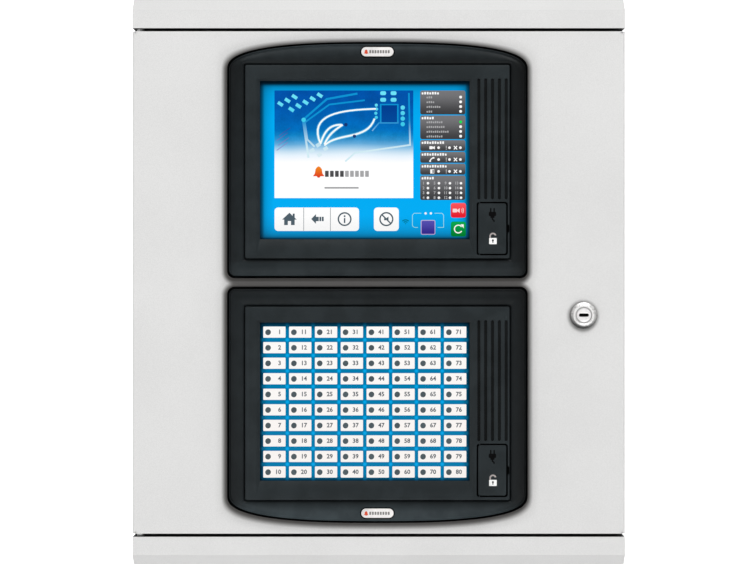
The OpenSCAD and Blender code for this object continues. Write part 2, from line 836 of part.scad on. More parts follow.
module zone_overlay() {
  color("deepskyblue") on_door(-1) difference() {
    plate(glass_front, glass_front + 1.2)
      translate([window_x, window_z]) square([window_w + 7, window_h + 7], center = true);
    for (p = label_places) rod(led_r + part_gap, glass_front - 1, glass_front + 2, p[0] + led_x, p[1], 24);
  }
}

module zone_labels() {
  color("white") on_door(-1) for (p = label_places) difference() {
    plate(label_front, glass_front) translate(p) square(label_size, center = true);
    rod(led_r + part_gap, label_front - 1, glass_front + 1, p[0] + led_x, p[1], 24);
  }
}

zone_board_front = front + 1;

module zone_leds() {
  color("darkslategray") on_door(-1)
    for (p = label_places) rod(led_r, label_front - 0.5, zone_board_front, p[0] + led_x, p[1], 24);
}

// The zone module's circuit board, which also carries the USB socket and the key switch
module zone_board() {
  rear = board_front + board_thick;
  color("darkgreen") on_door(-1) {
    plate(zone_board_front, zone_board_front + board_thick) rect_hole([-101, 78], [-70, 72]);
    module_board([-101, 102], [-71, 71]);
    for (x = [-90, 70], z = [-60, 60]) rod(2.5, zone_board_front + board_thick, board_front, x, z, 6);
    block([-25, 25], [rear, rear + 9], [-60, -50]);
    block([-66, -46], [rear, rear + 2.4], [-6, 14]);
  }
}

// ---- Nodes ----

cabinet_body();
top_cap();
bottom_cap();
hinge_pins();
chassis_plate();
fixing_pillars();
main_board();
field_terminals();
loop_card();
board_relays();
board_capacitors();
board_chips();
ribbon_headers();
power_supply_case();
power_supply_terminals();
mains_terminal_block();
battery_left();
battery_right();
battery_terminals();
battery_strap();
earth_studs();
door_panel();
door_seal();
hinge_bushes();
lock_housing();
lock_nut();
lock_plug();
lock_cam();
color("dimgray") fascia(1);  // display_fascia
inner_frame(1);  // display_inner_frame
badge(1);  // display_badge
vent_gauze(1);  // display_vent_gauze
touch_glass();  // display_touch_glass
lcd_unit();  // display_lcd
display_board();
sounder();  // display_sounder
rear_cover(1);  // display_rear_cover
module_nuts(1);  // display_fixings
service_bay(1);  // display_service_bay
usb_socket(1);  // display_usb_socket
key_housing(1);  // display_key_housing
key_plug(1);  // display_key_plug
flap(1);  // display_flap
color("dimgray") fascia(-1);  // zone_fascia
inner_frame(-1);  // zone_inner_frame
badge(-1);  // zone_badge
vent_gauze(-1);  // zone_vent_gauze
zone_overlay();
zone_labels();
zone_leds();
zone_board();
rear_cover(-1);  // zone_rear_cover
module_nuts(-1);  // zone_fixings
service_bay(-1);  // zone_service_bay
usb_socket(-1);  // zone_usb_socket
key_housing(-1);  // zone_key_housing
key_plug(-1);  // zone_key_plug
flap(-1);  // zone_flap
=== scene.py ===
"""Looks of a wall-mounted fire alarm control panel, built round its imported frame.

Lengths are millimetres until a piece leaves the bench, where they become metres.
"""

import logging
import math
from dataclasses import dataclass, field
from enum import Enum
from typing import Iterable, Optional, Sequence

import bpy
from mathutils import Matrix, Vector


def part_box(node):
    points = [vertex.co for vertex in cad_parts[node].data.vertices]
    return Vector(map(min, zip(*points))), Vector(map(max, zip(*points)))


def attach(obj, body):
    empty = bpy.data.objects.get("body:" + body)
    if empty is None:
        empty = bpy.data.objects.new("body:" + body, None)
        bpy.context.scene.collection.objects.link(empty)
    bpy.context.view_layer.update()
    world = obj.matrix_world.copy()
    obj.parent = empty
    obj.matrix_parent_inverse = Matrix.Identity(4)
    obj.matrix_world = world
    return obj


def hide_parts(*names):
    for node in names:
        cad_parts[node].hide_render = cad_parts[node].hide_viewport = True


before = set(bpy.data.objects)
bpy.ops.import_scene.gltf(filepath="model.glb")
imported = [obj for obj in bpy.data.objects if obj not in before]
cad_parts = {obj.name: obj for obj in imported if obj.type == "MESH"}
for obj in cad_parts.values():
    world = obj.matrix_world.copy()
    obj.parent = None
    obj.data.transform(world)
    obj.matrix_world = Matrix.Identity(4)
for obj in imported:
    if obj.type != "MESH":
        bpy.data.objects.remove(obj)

LOG = logging.getLogger("panel")
MM = 0.001

Flat = tuple[float, float]
Solid = tuple[float, float, float]
Colour = tuple[float, float, float]
Socket = bpy.types.NodeSocket
Piece = bpy.types.Object


def shade(red: int, green: int, blue: int) -> Colour:
    """Turns a screen colour into a linear one.

    Args:
        red: Amount of red, 0 to 255.
        green: Amount of green.
        blue: Amount of blue.

    Returns:
        The linear colour.
    """

    def linear(value: int) -> float:
        """Undoes the display curve for one channel."""
        part = value / 255
        return part / 12.92 if part <= 0.04045 else ((part + 0.055) / 1.055) ** 2.4

    return linear(red), linear(green), linear(blue)


def node_box(node: str) -> tuple[Vector, Vector]:
    """Gives a frame node's lowest and highest corners in millimetres.

    Args:
        node: Name of the node.

    Returns:
        The two corners.
    """
    low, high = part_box(node)
    return Vector(low) / MM, Vector(high) / MM


class Side(Enum):
    """Which way up a door module is hung."""

    UPPER = 1
    LOWER = -1


class Grain(Enum):
    """Direction of the fine lines in a worked metal surface."""

    ALONG_X = (1.0, 22.0, 22.0)
    ALONG_Z = (22.0, 22.0, 1.0)


# ---- Bench: every piece is made with these steps ----


class Bench:
    """The modelling steps, each one a hand operation, working in millimetres."""

    @staticmethod
    def clear() -> None:
        """Closes edit mode and leaves nothing selected."""
        active = bpy.context.view_layer.objects.active
        if active is not None and active.mode != "OBJECT":
            bpy.ops.object.mode_set(mode="OBJECT")
        bpy.ops.object.select_all(action="DESELECT")

    @staticmethod
    def pick(*pieces: Piece) -> None:
        """Selects only these pieces and makes the first one active."""
        Bench.clear()
        for piece in pieces:
            piece.select_set(True)
        bpy.context.view_layer.objects.active = pieces[0]

    @staticmethod
    def settle(name: str) -> Piece:
        """Names the new active piece and puts its place into its mesh.

        Args:
            name: Name for the piece.

        Returns:
            The piece, at the origin.
        """
        piece = bpy.context.view_layer.objects.active
        piece.name = name
        piece.data.name = name
        bpy.ops.object.transform_apply(location=True, rotation=True, scale=True)
        return piece

    @staticmethod
    def modify(piece: Piece, kind: str, **settings: object) -> Piece:
        """Adds one modifier to a piece and applies it.

        Args:
            piece: The piece.
            kind: The modifier's type.
            settings: Values for its fields.

        Returns:
            The piece.
        """
        Bench.pick(piece)
        modifier = piece.modifiers.new(kind.lower(), kind)
        for key, value in settings.items():
            setattr(modifier, key, value)
        bpy.ops.object.modifier_apply(modifier=modifier.name)
        return piece

    @staticmethod
    def smooth(piece: Piece, angle: float = 35) -> Piece:
        """Shades a piece smooth except over edges sharper than the angle in degrees."""
        Bench.pick(piece)
        bpy.ops.object.shade_smooth_by_angle(angle=math.radians(angle))
        return piece

    @staticmethod
    def soften(piece: Piece, width: float, segments: int = 2, angle: float = 35) -> Piece:
        """Rounds a piece's sharp edges.

        Args:
            piece: The piece.
            width: Width of the rounding.
            segments: Number of facets in it.
            angle: Edges sharper than this, in degrees, are rounded.

        Returns:
            The piece.
        """
        Bench.modify(
            piece, "BEVEL", width=width * MM, segments=segments, limit_method="ANGLE",
            angle_limit=math.radians(angle), use_clamp_overlap=True,
        )
        return Bench.smooth(piece, angle)

    @staticmethod
    def block(name: str, low: Sequence[float], high: Sequence[float], edge: float = 0) -> Piece:
        """Makes a block between two corners.

        Args:
            name: Name for the piece.
            low: Lowest corner.
            high: Highest corner.
            edge: Rounding of its edges.

        Returns:
            The block.
        """
        Bench.clear()
        middle = [(a + b) / 2 * MM for a, b in zip(low, high)]
        spans = [(b - a) * MM for a, b in zip(low, high)]
        bpy.ops.mesh.primitive_cube_add(size=1, location=middle, scale=spans)
        piece = Bench.settle(name)
        return Bench.soften(piece, edge) if edge else piece

    @staticmethod
    def prism(name: str, outline: Sequence[Flat], near: float, far: float) -> Piece:
        """Draws an outline as the front shows it and extrudes it backwards.

        Args:
            name: Name for the piece.
            outline: Points in x and z.
            near: Depth of its front.
            far: Depth of its back.

        Returns:
            The prism.
        """
        Bench.clear()
        bpy.ops.mesh.primitive_circle_add(
            vertices=len(outline), radius=1, fill_type="NGON", location=(0, near * MM, 0)
        )
        piece = bpy.context.view_layer.objects.active
        for vertex, (x, z) in zip(piece.data.vertices, outline):
            vertex.co = (x * MM, 0, z * MM)
        Bench.settle(name)
        bpy.ops.object.mode_set(mode="EDIT")
        bpy.ops.mesh.select_all(action="SELECT")
        bpy.ops.mesh.extrude_region_move(
            TRANSFORM_OT_translate={"value": (0, (far - near) * MM, 0)}
        )
        bpy.ops.mesh.select_all(action="SELECT")
        bpy.ops.mesh.normals_make_consistent(inside=False)
        bpy.ops.object.mode_set(mode="OBJECT")
        return piece

    @staticmethod
    def turned(name: str, x: float, z: float, profile: Sequence[Flat], sides: int = 96) -> Piece:
        """Turns a solid on an axis along y, as on a lathe.

        Args:
            name: Name for the piece.
            x: The axis's place.
            z: The axis's height.
            profile: Radius and depth at each step, from one end to the other.
            sides: Number of facets round it.

        Returns:
            The turned piece.
        """
        Bench.clear()
        radius, depth = profile[0]
        bpy.ops.mesh.primitive_circle_add(
            vertices=sides, radius=radius * MM, fill_type="NGON",
            location=(x * MM, depth * MM, z * MM), rotation=(math.pi / 2, 0, 0),
        )
        piece = Bench.settle(name)
        bpy.ops.object.mode_set(mode="EDIT")
        bpy.ops.mesh.select_all(action="SELECT")
        for step, (next_radius, next_depth) in enumerate(profile[1:]):
            bpy.ops.mesh.extrude_region_move(
                TRANSFORM_OT_translate={"value": (0, (next_depth - depth) * MM, 0)}
            )
            ratio = next_radius / radius
            bpy.ops.transform.resize(
                value=(ratio, 1, ratio), center_override=(x * MM, next_depth * MM, z * MM)
            )
            radius, depth = next_radius, next_depth
        bpy.ops.mesh.select_all(action="SELECT")
        bpy.ops.mesh.normals_make_consistent(inside=False)
        bpy.ops.object.mode_set(mode="OBJECT")
        return Bench.smooth(piece, 28)

    @staticmethod
    def lofted(name: str, loops: Sequence[Sequence[Solid]], closed_ends: bool = False) -> Piece:
        """Skins a run of matching closed loops, whose widths vary too much for one bridge.

        Args:
            name: Name for the piece.
            loops: Points of each loop, matched by their order.
            closed_ends: Whether the first and last loops are filled.

        Returns:
            The skin.
        """
        count = len(loops[0])
        points = [tuple(value * MM for value in point) for loop in loops for point in loop]
        faces: list[tuple[int, ...]] = [
            (row * count + i, row * count + (i + 1) % count,
             (row + 1) * count + (i + 1) % count, (row + 1) * count + i)
            for row in range(len(loops) - 1) for i in range(count)
        ]
        if closed_ends:
            faces.append(tuple(range(count)))
            faces.append(tuple(range((len(loops) - 1) * count, len(loops) * count)))
        mesh = bpy.data.meshes.new(name)
        mesh.from_pydata(points, [], faces)
        piece = bpy.data.objects.new(name, mesh)
        bpy.context.scene.collection.objects.link(piece)
        Bench.pick(piece)
        bpy.ops.object.mode_set(mode="EDIT")
        bpy.ops.mesh.select_all(action="SELECT")
        bpy.ops.mesh.remove_doubles(threshold=1e-7)
        bpy.ops.mesh.normals_make_consistent(inside=False)
        bpy.ops.object.mode_set(mode="OBJECT")
        return piece

    @staticmethod
    def lettered(name: str, words: str, height: float, x: float, depth: float, z: float,
                 bold: float = 0.0, aim: str = "CENTER") -> Piece:
        """Prints a number as thin raised ink.

        Args:
            name: Name for the piece.
            words: The figures.
            height: Height of the figures.
            x: Their middle, or their right-hand end.
            depth: Depth of the surface they are printed on.
            z: The middle of their height.
            bold: How much thicker than usual their strokes are.
            aim: What x is: CENTER or RIGHT.

        Returns:
            The figures as a mesh.
        """
        Bench.clear()
        bpy.ops.object.text_add(
            location=(x * MM, depth * MM, z * MM), rotation=(math.pi / 2, 0, 0)
        )
        ink = bpy.context.view_layer.objects.active
        ink.data.body = words
        ink.data.size = height / 0.7 * MM
        ink.data.align_x = aim
        ink.data.align_y = "CENTER"
        ink.data.offset = bold * MM
        ink.data.extrude = 0.02 * MM
        ink.data.resolution_u = 2
        bpy.ops.object.convert(target="MESH")
        return Bench.settle(name)

    @staticmethod
    def join(name: str, pieces: Iterable[Piece]) -> Piece:
        """Makes several pieces one.

        Args:
            name: Name for the result.
            pieces: The pieces.

        Returns:
            The joined piece.
        """
        every = list(pieces)
        Bench.pick(*every)
        if len(every) > 1:
            bpy.ops.object.join()
        whole = bpy.context.view_layer.objects.active
        whole.name = name
        whole.data.name = name
        return whole

    @staticmethod
    def cut(piece: Piece, tools: Iterable[Piece]) -> Piece:
        """Cuts the tools' shapes out of a piece and throws the tools away.

        Args:
            piece: The piece.
            tools: Solids to take away, one after another.

        Returns:
            The piece.
        """
        for tool in tools:
            Bench.modify(piece, "BOOLEAN", operation="DIFFERENCE", solver="EXACT", object=tool)
            bpy.data.objects.remove(tool, do_unlink=True)
        return piece

    @staticmethod
    def array(piece: Piece, count: int, x: float = 0, y: float = 0, z: float = 0) -> Piece:
        """Repeats a piece in a row, at steps of x, y and z."""
        return Bench.modify(
            piece, "ARRAY", count=count, use_relative_offset=False, use_constant_offset=True,
            constant_offset_displace=(x * MM, y * MM, z * MM),
        )

    @staticmethod
    def copy_at(piece: Piece, places: Iterable[Solid]) -> Piece:
        """Copies a piece to several places and joins the copies, without the first.

        Args:
            piece: The first piece, which is used up.
            places: Offsets from where the first piece stands.

        Returns:
            The joined copies.
        """
        copies = []
        for offset in places:
            Bench.pick(piece)
            bpy.ops.object.duplicate(linked=False)
            copy = bpy.context.view_layer.objects.active
            copy.location = [value * MM for value in offset]
            bpy.ops.object.transform_apply(location=True, rotation=False, scale=False)
            copies.append(copy)
        name = piece.name
        bpy.data.objects.remove(piece, do_unlink=True)
        return Bench.join(name, copies)


class Outline:
    """Flat shapes, as lists of points in x and z."""

    @staticmethod
    def rounded(x: Flat, z: Flat, radius: float, steps: int = 6) -> list[Flat]:
        """Draws a rectangle with round corners.

        Args:
            x: Its lowest and highest x.
            z: Its lowest and highest z.
            radius: The corners' radius.
            steps: Facets in each corner.

        Returns:
            The points, anticlockwise as the front shows them.
        """
        corners = ((x[1] - radius, z[1] - radius, 0), (x[0] + radius, z[1] - radius, 90),
                   (x[0] + radius, z[0] + radius, 180), (x[1] - radius, z[0] + radius, 270))
        return [
            (cx + radius * math.cos(math.radians(start + 90 * i / steps)),
             cz + radius * math.sin(math.radians(start + 90 * i / steps)))
            for cx, cz, start in corners for i in range(steps + 1)
        ]

    @staticmethod
    def ring(x: float, z: float, radius: float, sides: int = 24) -> list[Flat]:
        """Draws a circle about a point."""
        return [(x + radius * math.cos(2 * math.pi * i / sides),
                 z + radius * math.sin(2 * math.pi * i / sides)) for i in range(sides)]

    @staticmethod
    def arc_band(x: float, z: float, inner: float, outer: float,
                 start: float, end: float, steps: int = 20) -> list[Flat]:
        """Draws a band bent round a point.

        Args:
            x: The point's x.
            z: The point's z.
            inner: The band's inner radius.
            outer: The band's outer radius.
            start: Angle it starts at, in degrees.
            end: Angle it ends at.
            steps: Facets along it.

        Returns:
            The points.
        """
        turns = [math.radians(start + (end - start) * i / steps) for i in range(steps + 1)]
        return ([(x + outer * math.cos(t), z + outer * math.sin(t)) for t in turns]
                + [(x + inner * math.cos(t), z + inner * math.sin(t)) for t in reversed(turns)])

    @staticmethod
    def line(points: Sequence[Flat], width: float) -> list[Flat]:
        """Draws a mitred line of even width through some points.

        Args:
            points: The line's middle.
            width: Its width.

        Returns:
            The points round it.
        """
        left, right = [], []
        for i, (x, z) in enumerate(points):
            back = Vector(points[i]) - Vector(points[i - 1]) if i else None
            ahead = Vector(points[i + 1]) - Vector(points[i]) if i + 1 < len(points) else None
            ways = [way.normalized() for way in (back, ahead) if way is not None]
            way = sum(ways[1:], ways[0]).normalized()
            reach = width / 2 / max(0.4, way.dot(ways[0]))
            left.append((x - way.y * reach, z + way.x * reach))
            right.append((x + way.y * reach, z - way.x * reach))
        return left + right[::-1]


# ---- Finishes ----


class Recipe:
    """A material, built node by node."""

    def __init__(self, name: str) -> None:
        """Starts a material with a plain shader.

        Args:
            name: Name for the material.
        """
        self.material = bpy.data.materials.new(name)
        self.material.use_nodes = True
        self.tree = self.material.node_tree
        self.tree.nodes.clear()
        self.shader = self.tree.nodes.new("ShaderNodeBsdfPrincipled")
        out = self.tree.nodes.new("ShaderNodeOutputMaterial")
        self.tree.links.new(self.shader.outputs["BSDF"], out.inputs["Surface"])

    def set(self, **values: object) -> "Recipe":
        """Sets the shader's own sockets; an underscore in a name stands for a space."""
        for key, value in values.items():
            socket = self.shader.inputs[key.replace("_", " ")]
            socket.default_value = (*value, 1) if isinstance(value, tuple) else value
        return self

    def wire(self, source: Socket, target: str) -> "Recipe":
        """Joins a node's output to one of the shader's sockets."""
        self.tree.links.new(source, self.shader.inputs[target])
        return self

    def feed(self, node: bpy.types.Node, socket: object, value: object) -> None:
        """Gives a node's input either a link or a value."""
        target = node.inputs[socket]
        if isinstance(value, Socket):
            self.tree.links.new(value, target)
        elif isinstance(value, tuple) and len(value) == 3 and target.type == "RGBA":
            target.default_value = (*value, 1)
        else:
            target.default_value = value

    def place(self, scale: Solid = (1, 1, 1), shift: Solid = (0, 0, 0)) -> Socket:
        """Reads the place on the piece in metres, scaled and shifted."""
        where = self.tree.nodes.new("ShaderNodeTexCoord")
        moved = self.tree.nodes.new("ShaderNodeMapping")
        moved.inputs["Scale"].default_value = scale
        moved.inputs["Location"].default_value = shift
        self.tree.links.new(where.outputs["Object"], moved.inputs["Vector"])
        return moved.outputs["Vector"]

    def axis(self, which: str) -> Socket:
        """Reads one coordinate of the place on the piece, in millimetres."""
        split = self.tree.nodes.new("ShaderNodeSeparateXYZ")
        self.tree.links.new(self.place((1 / MM, 1 / MM, 1 / MM)), split.inputs[0])
        return split.outputs[which]

    def noise(self, size: float, detail: float = 2, stretch: Solid = (1, 1, 1)) -> Socket:
        """Makes a cloudy pattern.

        Args:
            size: Width of its spots in millimetres.
            detail: Amount of finer spots in it.
            stretch: How much tighter it is along each axis.

        Returns:
            The pattern, 0 to 1.
        """
        noise = self.tree.nodes.new("ShaderNodeTexNoise")
        noise.inputs["Scale"].default_value = 1 / (size * MM)
        noise.inputs["Detail"].default_value = detail
        self.tree.links.new(self.place(stretch), noise.inputs["Vector"])
        return noise.outputs["Fac"]

    def cells(self, size: float, feature: str = "F1") -> Socket:
        """Makes a cell pattern and gives the distance to each cell's point."""
        cells = self.tree.nodes.new("ShaderNodeTexVoronoi")
        cells.feature = feature
        cells.inputs["Scale"].default_value = 1 / (size * MM)
        self.tree.links.new(self.place(), cells.inputs["Vector"])
        return cells.outputs["Distance"]

    def sum(self, kind: str, first: object, second: object = 0.0, third: object = 0.0) -> Socket:
        """Does one step of arithmetic on numbers or patterns."""
        node = self.tree.nodes.new("ShaderNodeMath")
        node.operation = kind
        for index, value in enumerate((first, second, third)):
            self.feed(node, index, value)
        return node.outputs[0]

    def fade(self, value: Socket, start: float, end: float,
             low: float = 0, high: float = 1) -> Socket:
        """Turns a pattern into a smooth step.

        Args:
            value: The pattern.
            start: Where the step begins.
            end: Where it ends.
            low: Result before it.
            high: Result after it.

        Returns:
            The step.
        """
        node = self.tree.nodes.new("ShaderNodeMapRange")
        node.interpolation_type = "SMOOTHSTEP"
        self.feed(node, "Value", value)
        node.inputs["From Min"].default_value = start
        node.inputs["From Max"].default_value = end
        node.inputs["To Min"].default_value = low
        node.inputs["To Max"].default_value = high
        return node.outputs["Result"]

    def blend(self, amount: object, first: object, second: object) -> Socket:
        """Mixes two colours by a pattern."""
        node = self.tree.nodes.new("ShaderNodeMix")
        node.data_type = "RGBA"
        self.feed(node, 0, amount)
        self.feed(node, 6, first)
        self.feed(node, 7, second)
        return node.outputs[2]

    def ramp(self, value: Socket, stops: Sequence[tuple[float, Colour]]) -> Socket:
        """Turns a pattern into a run of colours."""
        node = self.tree.nodes.new("ShaderNodeValToRGB")
        points = node.color_ramp.elements
        while len(points) < len(stops):
            points.new(0.5)
        for point, (place, colour) in zip(points, stops):
            point.position = place
            point.color = (*colour, 1)
        self.tree.links.new(value, node.inputs[0])
        return node.outputs[0]

    def levels(self, value: Socket, stops: Sequence[Flat]) -> Socket:
        """Reads a strength off a run of places and strengths, straight between them.

        Args:
            value: Where to read it.
            stops: Places and the strengths there, in order of place.

        Returns:
            The strength.
        """
        start, reach = stops[0][0], stops[-1][0] - stops[0][0]
        most = max(strength for _, strength in stops)
        grey = [((place - start) / reach, (strength / most,) * 3) for place, strength in stops]
        spot = self.sum("DIVIDE", self.sum("SUBTRACT", value, start), reach)
        return self.sum("MULTIPLY", self.ramp(spot, grey), most)

    def tint(self, colour: object, amount: object) -> Socket:
        """Multiplies a colour by a pattern or a number."""
        node = self.tree.nodes.new("ShaderNodeVectorMath")
        node.operation = "SCALE"
        self.feed(node, 0, colour)
        self.feed(node, "Scale", amount)
        return node.outputs[0]

    def relief(self, height: Socket, depth: float, strength: float = 1) -> "Recipe":
        """Gives the surface a fine relief.

        Args:
            height: Pattern of its height, 0 to 1.
            depth: Depth of the relief in millimetres.
            strength: Amount of it.

        Returns:
            The recipe.
        """
        bump = self.tree.nodes.new("ShaderNodeBump")
        bump.inputs["Strength"].default_value = strength
        bump.inputs["Distance"].default_value = depth * MM
        self.tree.links.new(height, bump.inputs["Height"])
        self.tree.links.new(bump.outputs["Normal"], self.shader.inputs["Normal"])
        return self


@dataclass(frozen=True)
class BowedShape:
    """The bezels' outline: three straight sides with round corners and a bow on the fourth."""

    x: float
    z: float
    side: Side
    half_width: float = 122.9
    apex: float = 97.7
    edge: float = 94.7
    rise: float = 23.0
    power: float = 2.7
    corner: float = 6.0

    def points(self, inset: float) -> list[Flat]:
        """Draws the outline about its middle, drawn in by some distance, bow upwards.

        Args:
            inset: The distance.

        Returns:
            Points from the right, over the bow.
        """
        across = self.half_width - inset
        rise, foot = self.rise - inset / 3, self.apex - self.rise - inset * 2 / 3
        points = []
        for step in range(121):
            turn = math.radians(step * 1.5)
            cos, sin = math.cos(turn), math.sin(turn)
            points.append((math.copysign(across * abs(cos) ** (2 / self.power), cos),
                           foot + rise * abs(sin) ** (2 / self.power)))
        radius, low = max(1.0, self.corner - inset / 2), inset - self.edge
        for side, start in ((-1, 180), (1, 270)):
            for step in range(9):
                turn = math.radians(start + step * 11.25)
                points.append((side * (across - radius) + radius * math.cos(turn),
                               low + radius + radius * math.sin(turn)))
        return points

    def distance(self, r: "Recipe", x: Socket, z: Socket) -> Socket:
        """Works out how far a place is outside the outline, to first order round the bow.

        Args:
            r: The recipe being built.
            x: Place across.
            z: Height.

        Returns:
            The distance in millimetres, below 0 inside.
        """
        along = r.sum("ABSOLUTE", r.sum("SUBTRACT", x, self.x))
        out = r.sum("MULTIPLY", r.sum("SUBTRACT", z, self.z), float(self.side.value))
        above = r.sum("MAXIMUM", r.sum("SUBTRACT", out, self.apex - self.rise), 0.0)
        slopes, level = [], 0.0
        for value, reach in ((along, self.half_width), (above, self.rise)):
            part = r.sum("DIVIDE", value, reach)
            level = r.sum("ADD", r.sum("POWER", part, self.power), level)
            slope = r.sum("DIVIDE", r.sum("POWER", part, self.power - 1), reach)
            slopes.append(r.sum("MULTIPLY", slope, slope))
        steep = r.sum("SQRT", r.sum("ADD", slopes[0], slopes[1]))
        excess = r.sum("SUBTRACT", level, r.sum("POWER", level, 1 - 1 / self.power))
        bow = r.sum("DIVIDE", excess, r.sum("MAXIMUM", steep, 1e-5))
        over = r.sum("SUBTRACT", along, self.half_width - self.corner)
        under = r.sum("SUBTRACT", r.sum("MULTIPLY", out, -1.0), self.edge - self.corner)
        far = [r.sum("MAXIMUM", value, 0.0) for value in (over, under)]
        round_ = r.sum("SQRT", r.sum("MULTIPLY_ADD", far[0], far[0], r.sum("MULTIPLY", far[1], far[1])))
        return r.sum("MAXIMUM", bow, r.sum("SUBTRACT", round_, self.corner))


@dataclass(frozen=True)
class PowderCoat:
    """Textured powder paint, with painted shade inside the shut lines and a painted contact shadow round the bezels
    and the lock's rose.
    """

    name: str
    colour: Colour
    shut_line: Optional[Flat] = None
    bezels: Sequence["BowedShape"] = ()
    # Centre and radius of the lock's rose, round which a painted shadow falls.
    rose: Optional[Solid] = None
    # Shift of the painted shadows: they fall to the left and downwards.
    fall: Flat = (0.4, 0.9)

    def make(self) -> bpy.types.Material:
        """Mixes the paint and returns its material."""
        r = Recipe(self.name)
        r.set(Roughness=0.55, Specular_IOR_Level=0.3)
        fleck = r.noise(0.55, 1)
        cloud = r.noise(60, 2)
        pale = tuple(min(1.0, c * 1.03) for c in self.colour)
        dull = tuple(c * 0.93 for c in self.colour)
        grain = r.sum("MULTIPLY_ADD", cloud, 0.25, r.sum("MULTIPLY", fleck, 0.75))
        paint = r.blend(r.fade(grain, 0.32, 0.68), dull, pale)
        if self.bezels:
            # Painted shadow: a warm near-black round the bezels and the lock's rose.
            paint = r.blend(self.contact_shade(r), paint, (0.046, 0.041, 0.037))
        # Painted shade: near-black inside the shut lines, where the deep gap is in shade.
        if self.shut_line:
            low, high = self.shut_line
            height = r.sum("ABSOLUTE", r.axis("Z"))
            inside = r.sum("MULTIPLY", r.fade(height, low - 0.3, low), r.fade(height, high + 0.3, high))
            deep = r.fade(r.axis("Y"), -149.7, -148.9)
            paint = r.blend(r.sum("MULTIPLY", inside, deep), paint, (0.012, 0.012, 0.012))
        r.wire(paint, "Base Color")
        r.wire(r.fade(r.noise(3, 2), 0.3, 0.7, 0.48, 0.60), "Roughness")
        peel = r.sum("MULTIPLY_ADD", r.noise(1.1, 1), 0.7, r.sum("MULTIPLY", r.noise(0.35, 1), 0.3))
        r.relief(peel, 0.035, 0.55)
        return r.material

    def contact_shade(self, r: Recipe) -> Socket:
        """Works out the soft shade on the paint round each bezel.

        Args:
            r: The recipe being built.

        Returns:
            Its strength, 0 to 1.
        """
        x = r.sum("ADD", r.axis("X"), self.fall[0])
        z = r.sum("ADD", r.axis("Z"), self.fall[1])
        first, second = [self.shade_of(r, bezel.distance(r, x, z)) for bezel in self.bezels]
        clear = r.sum("MULTIPLY", r.sum("SUBTRACT", 1.0, first), r.sum("SUBTRACT", 1.0, second))
        # Painted shade: where both shadows reach, in the channel between the bezels, they darken more.
        squeezed = r.fade(r.sum("MULTIPLY", first, second), 0.0, 0.34, 1.0, 0.30)
        clear = r.sum("MULTIPLY", clear, squeezed)
        # Painted shadow round the lock's rose.
        if self.rose:
            across, up = (r.sum("SUBTRACT", value, middle) for value, middle in zip((x, z), self.rose))
            away = r.sum("SQRT", r.sum("MULTIPLY_ADD", across, across, r.sum("MULTIPLY", up, up)))
            clear = r.sum("MULTIPLY", clear, r.fade(away, self.rose[2] - 0.8, self.rose[2] + 3.4, 0.42, 1.0))
        shaded = r.sum("MINIMUM", r.sum("SUBTRACT", 1.0, clear), 0.96)
        return r.sum("MULTIPLY", shaded, r.fade(r.axis("Y"), -148.9, -149.7))

    @staticmethod
    def shade_of(r: Recipe, gap: Socket) -> Socket:
        """Turns the distance from a bezel into its shade's strength."""
        wide = r.sum("MULTIPLY", r.fade(gap, 11.0, 3.5), 0.10)
        return r.sum("MAXIMUM", wide, r.fade(gap, 6.3, 0.5, 0, 0.93))


@dataclass(frozen=True)
class Moulding:
    """Moulded plastic with a fine spark-eroded surface."""

    name: str
    colour: Colour
    roughness: float = 0.5
    texture: float = 0.35
    depth: float = 0.012
    gloss: float = 0.35
    # Ramps that multiply the colour along an axis; the bezels use them for painted light and shade.
    slopes: Sequence[tuple[str, Sequence[Flat]]] = ()

    def make(self) -> bpy.types.Material:
        """Mixes the plastic and returns its material."""
        r = Recipe(self.name)
        r.set(Specular_IOR_Level=self.gloss)
        worn = r.noise(18, 3)
        lighter = tuple(c * 1.12 + 0.001 for c in self.colour)
        darker = tuple(c * 0.9 for c in self.colour)
        colour = r.blend(r.fade(worn, 0.35, 0.65), darker, lighter)
        # The slopes paint light and shade into the colour.
        for which, stops in self.slopes:
            colour = r.tint(colour, r.levels(r.axis(which), stops))
        r.wire(colour, "Base Color")
        r.wire(r.fade(r.noise(2.5, 2), 0.3, 0.7, self.roughness - 0.05, self.roughness + 0.05), "Roughness")
        spark = r.sum("MULTIPLY_ADD", r.noise(self.texture, 2), 0.7,
                      r.sum("MULTIPLY", r.cells(self.texture * 1.6), 0.3))
        r.relief(spark, self.depth, 0.6)
        return r.material


@dataclass(frozen=True)
class Metal:
    """Plated or drawn metal with fine lines and slight tarnish."""

    name: str
    colour: Colour
    roughness: float = 0.3
    grain: Grain = Grain.ALONG_X
    spangle: float = 0.0

    def make(self) -> bpy.types.Material:
        """Mixes the metal and returns its material."""
        r = Recipe(self.name)
        r.set(Metallic=1.0)
        lines = r.noise(1.4, 3, self.grain.value)
        stain = r.noise(9, 3)
        dull = tuple(c * 0.82 for c in self.colour)
        pattern = r.sum("MULTIPLY_ADD", stain, 0.6, r.sum("MULTIPLY", lines, 0.4))
        if self.spangle:
            pattern = r.sum("MULTIPLY_ADD", r.cells(self.spangle), 0.4, r.sum("MULTIPLY", pattern, 0.7))
        r.wire(r.blend(r.fade(pattern, 0.35, 0.65), dull, self.colour), "Base Color")
        r.wire(r.fade(lines, 0.3, 0.7, self.roughness - 0.08, self.roughness + 0.08), "Roughness")
        r.relief(lines, 0.01, 0.4)
        return r.material


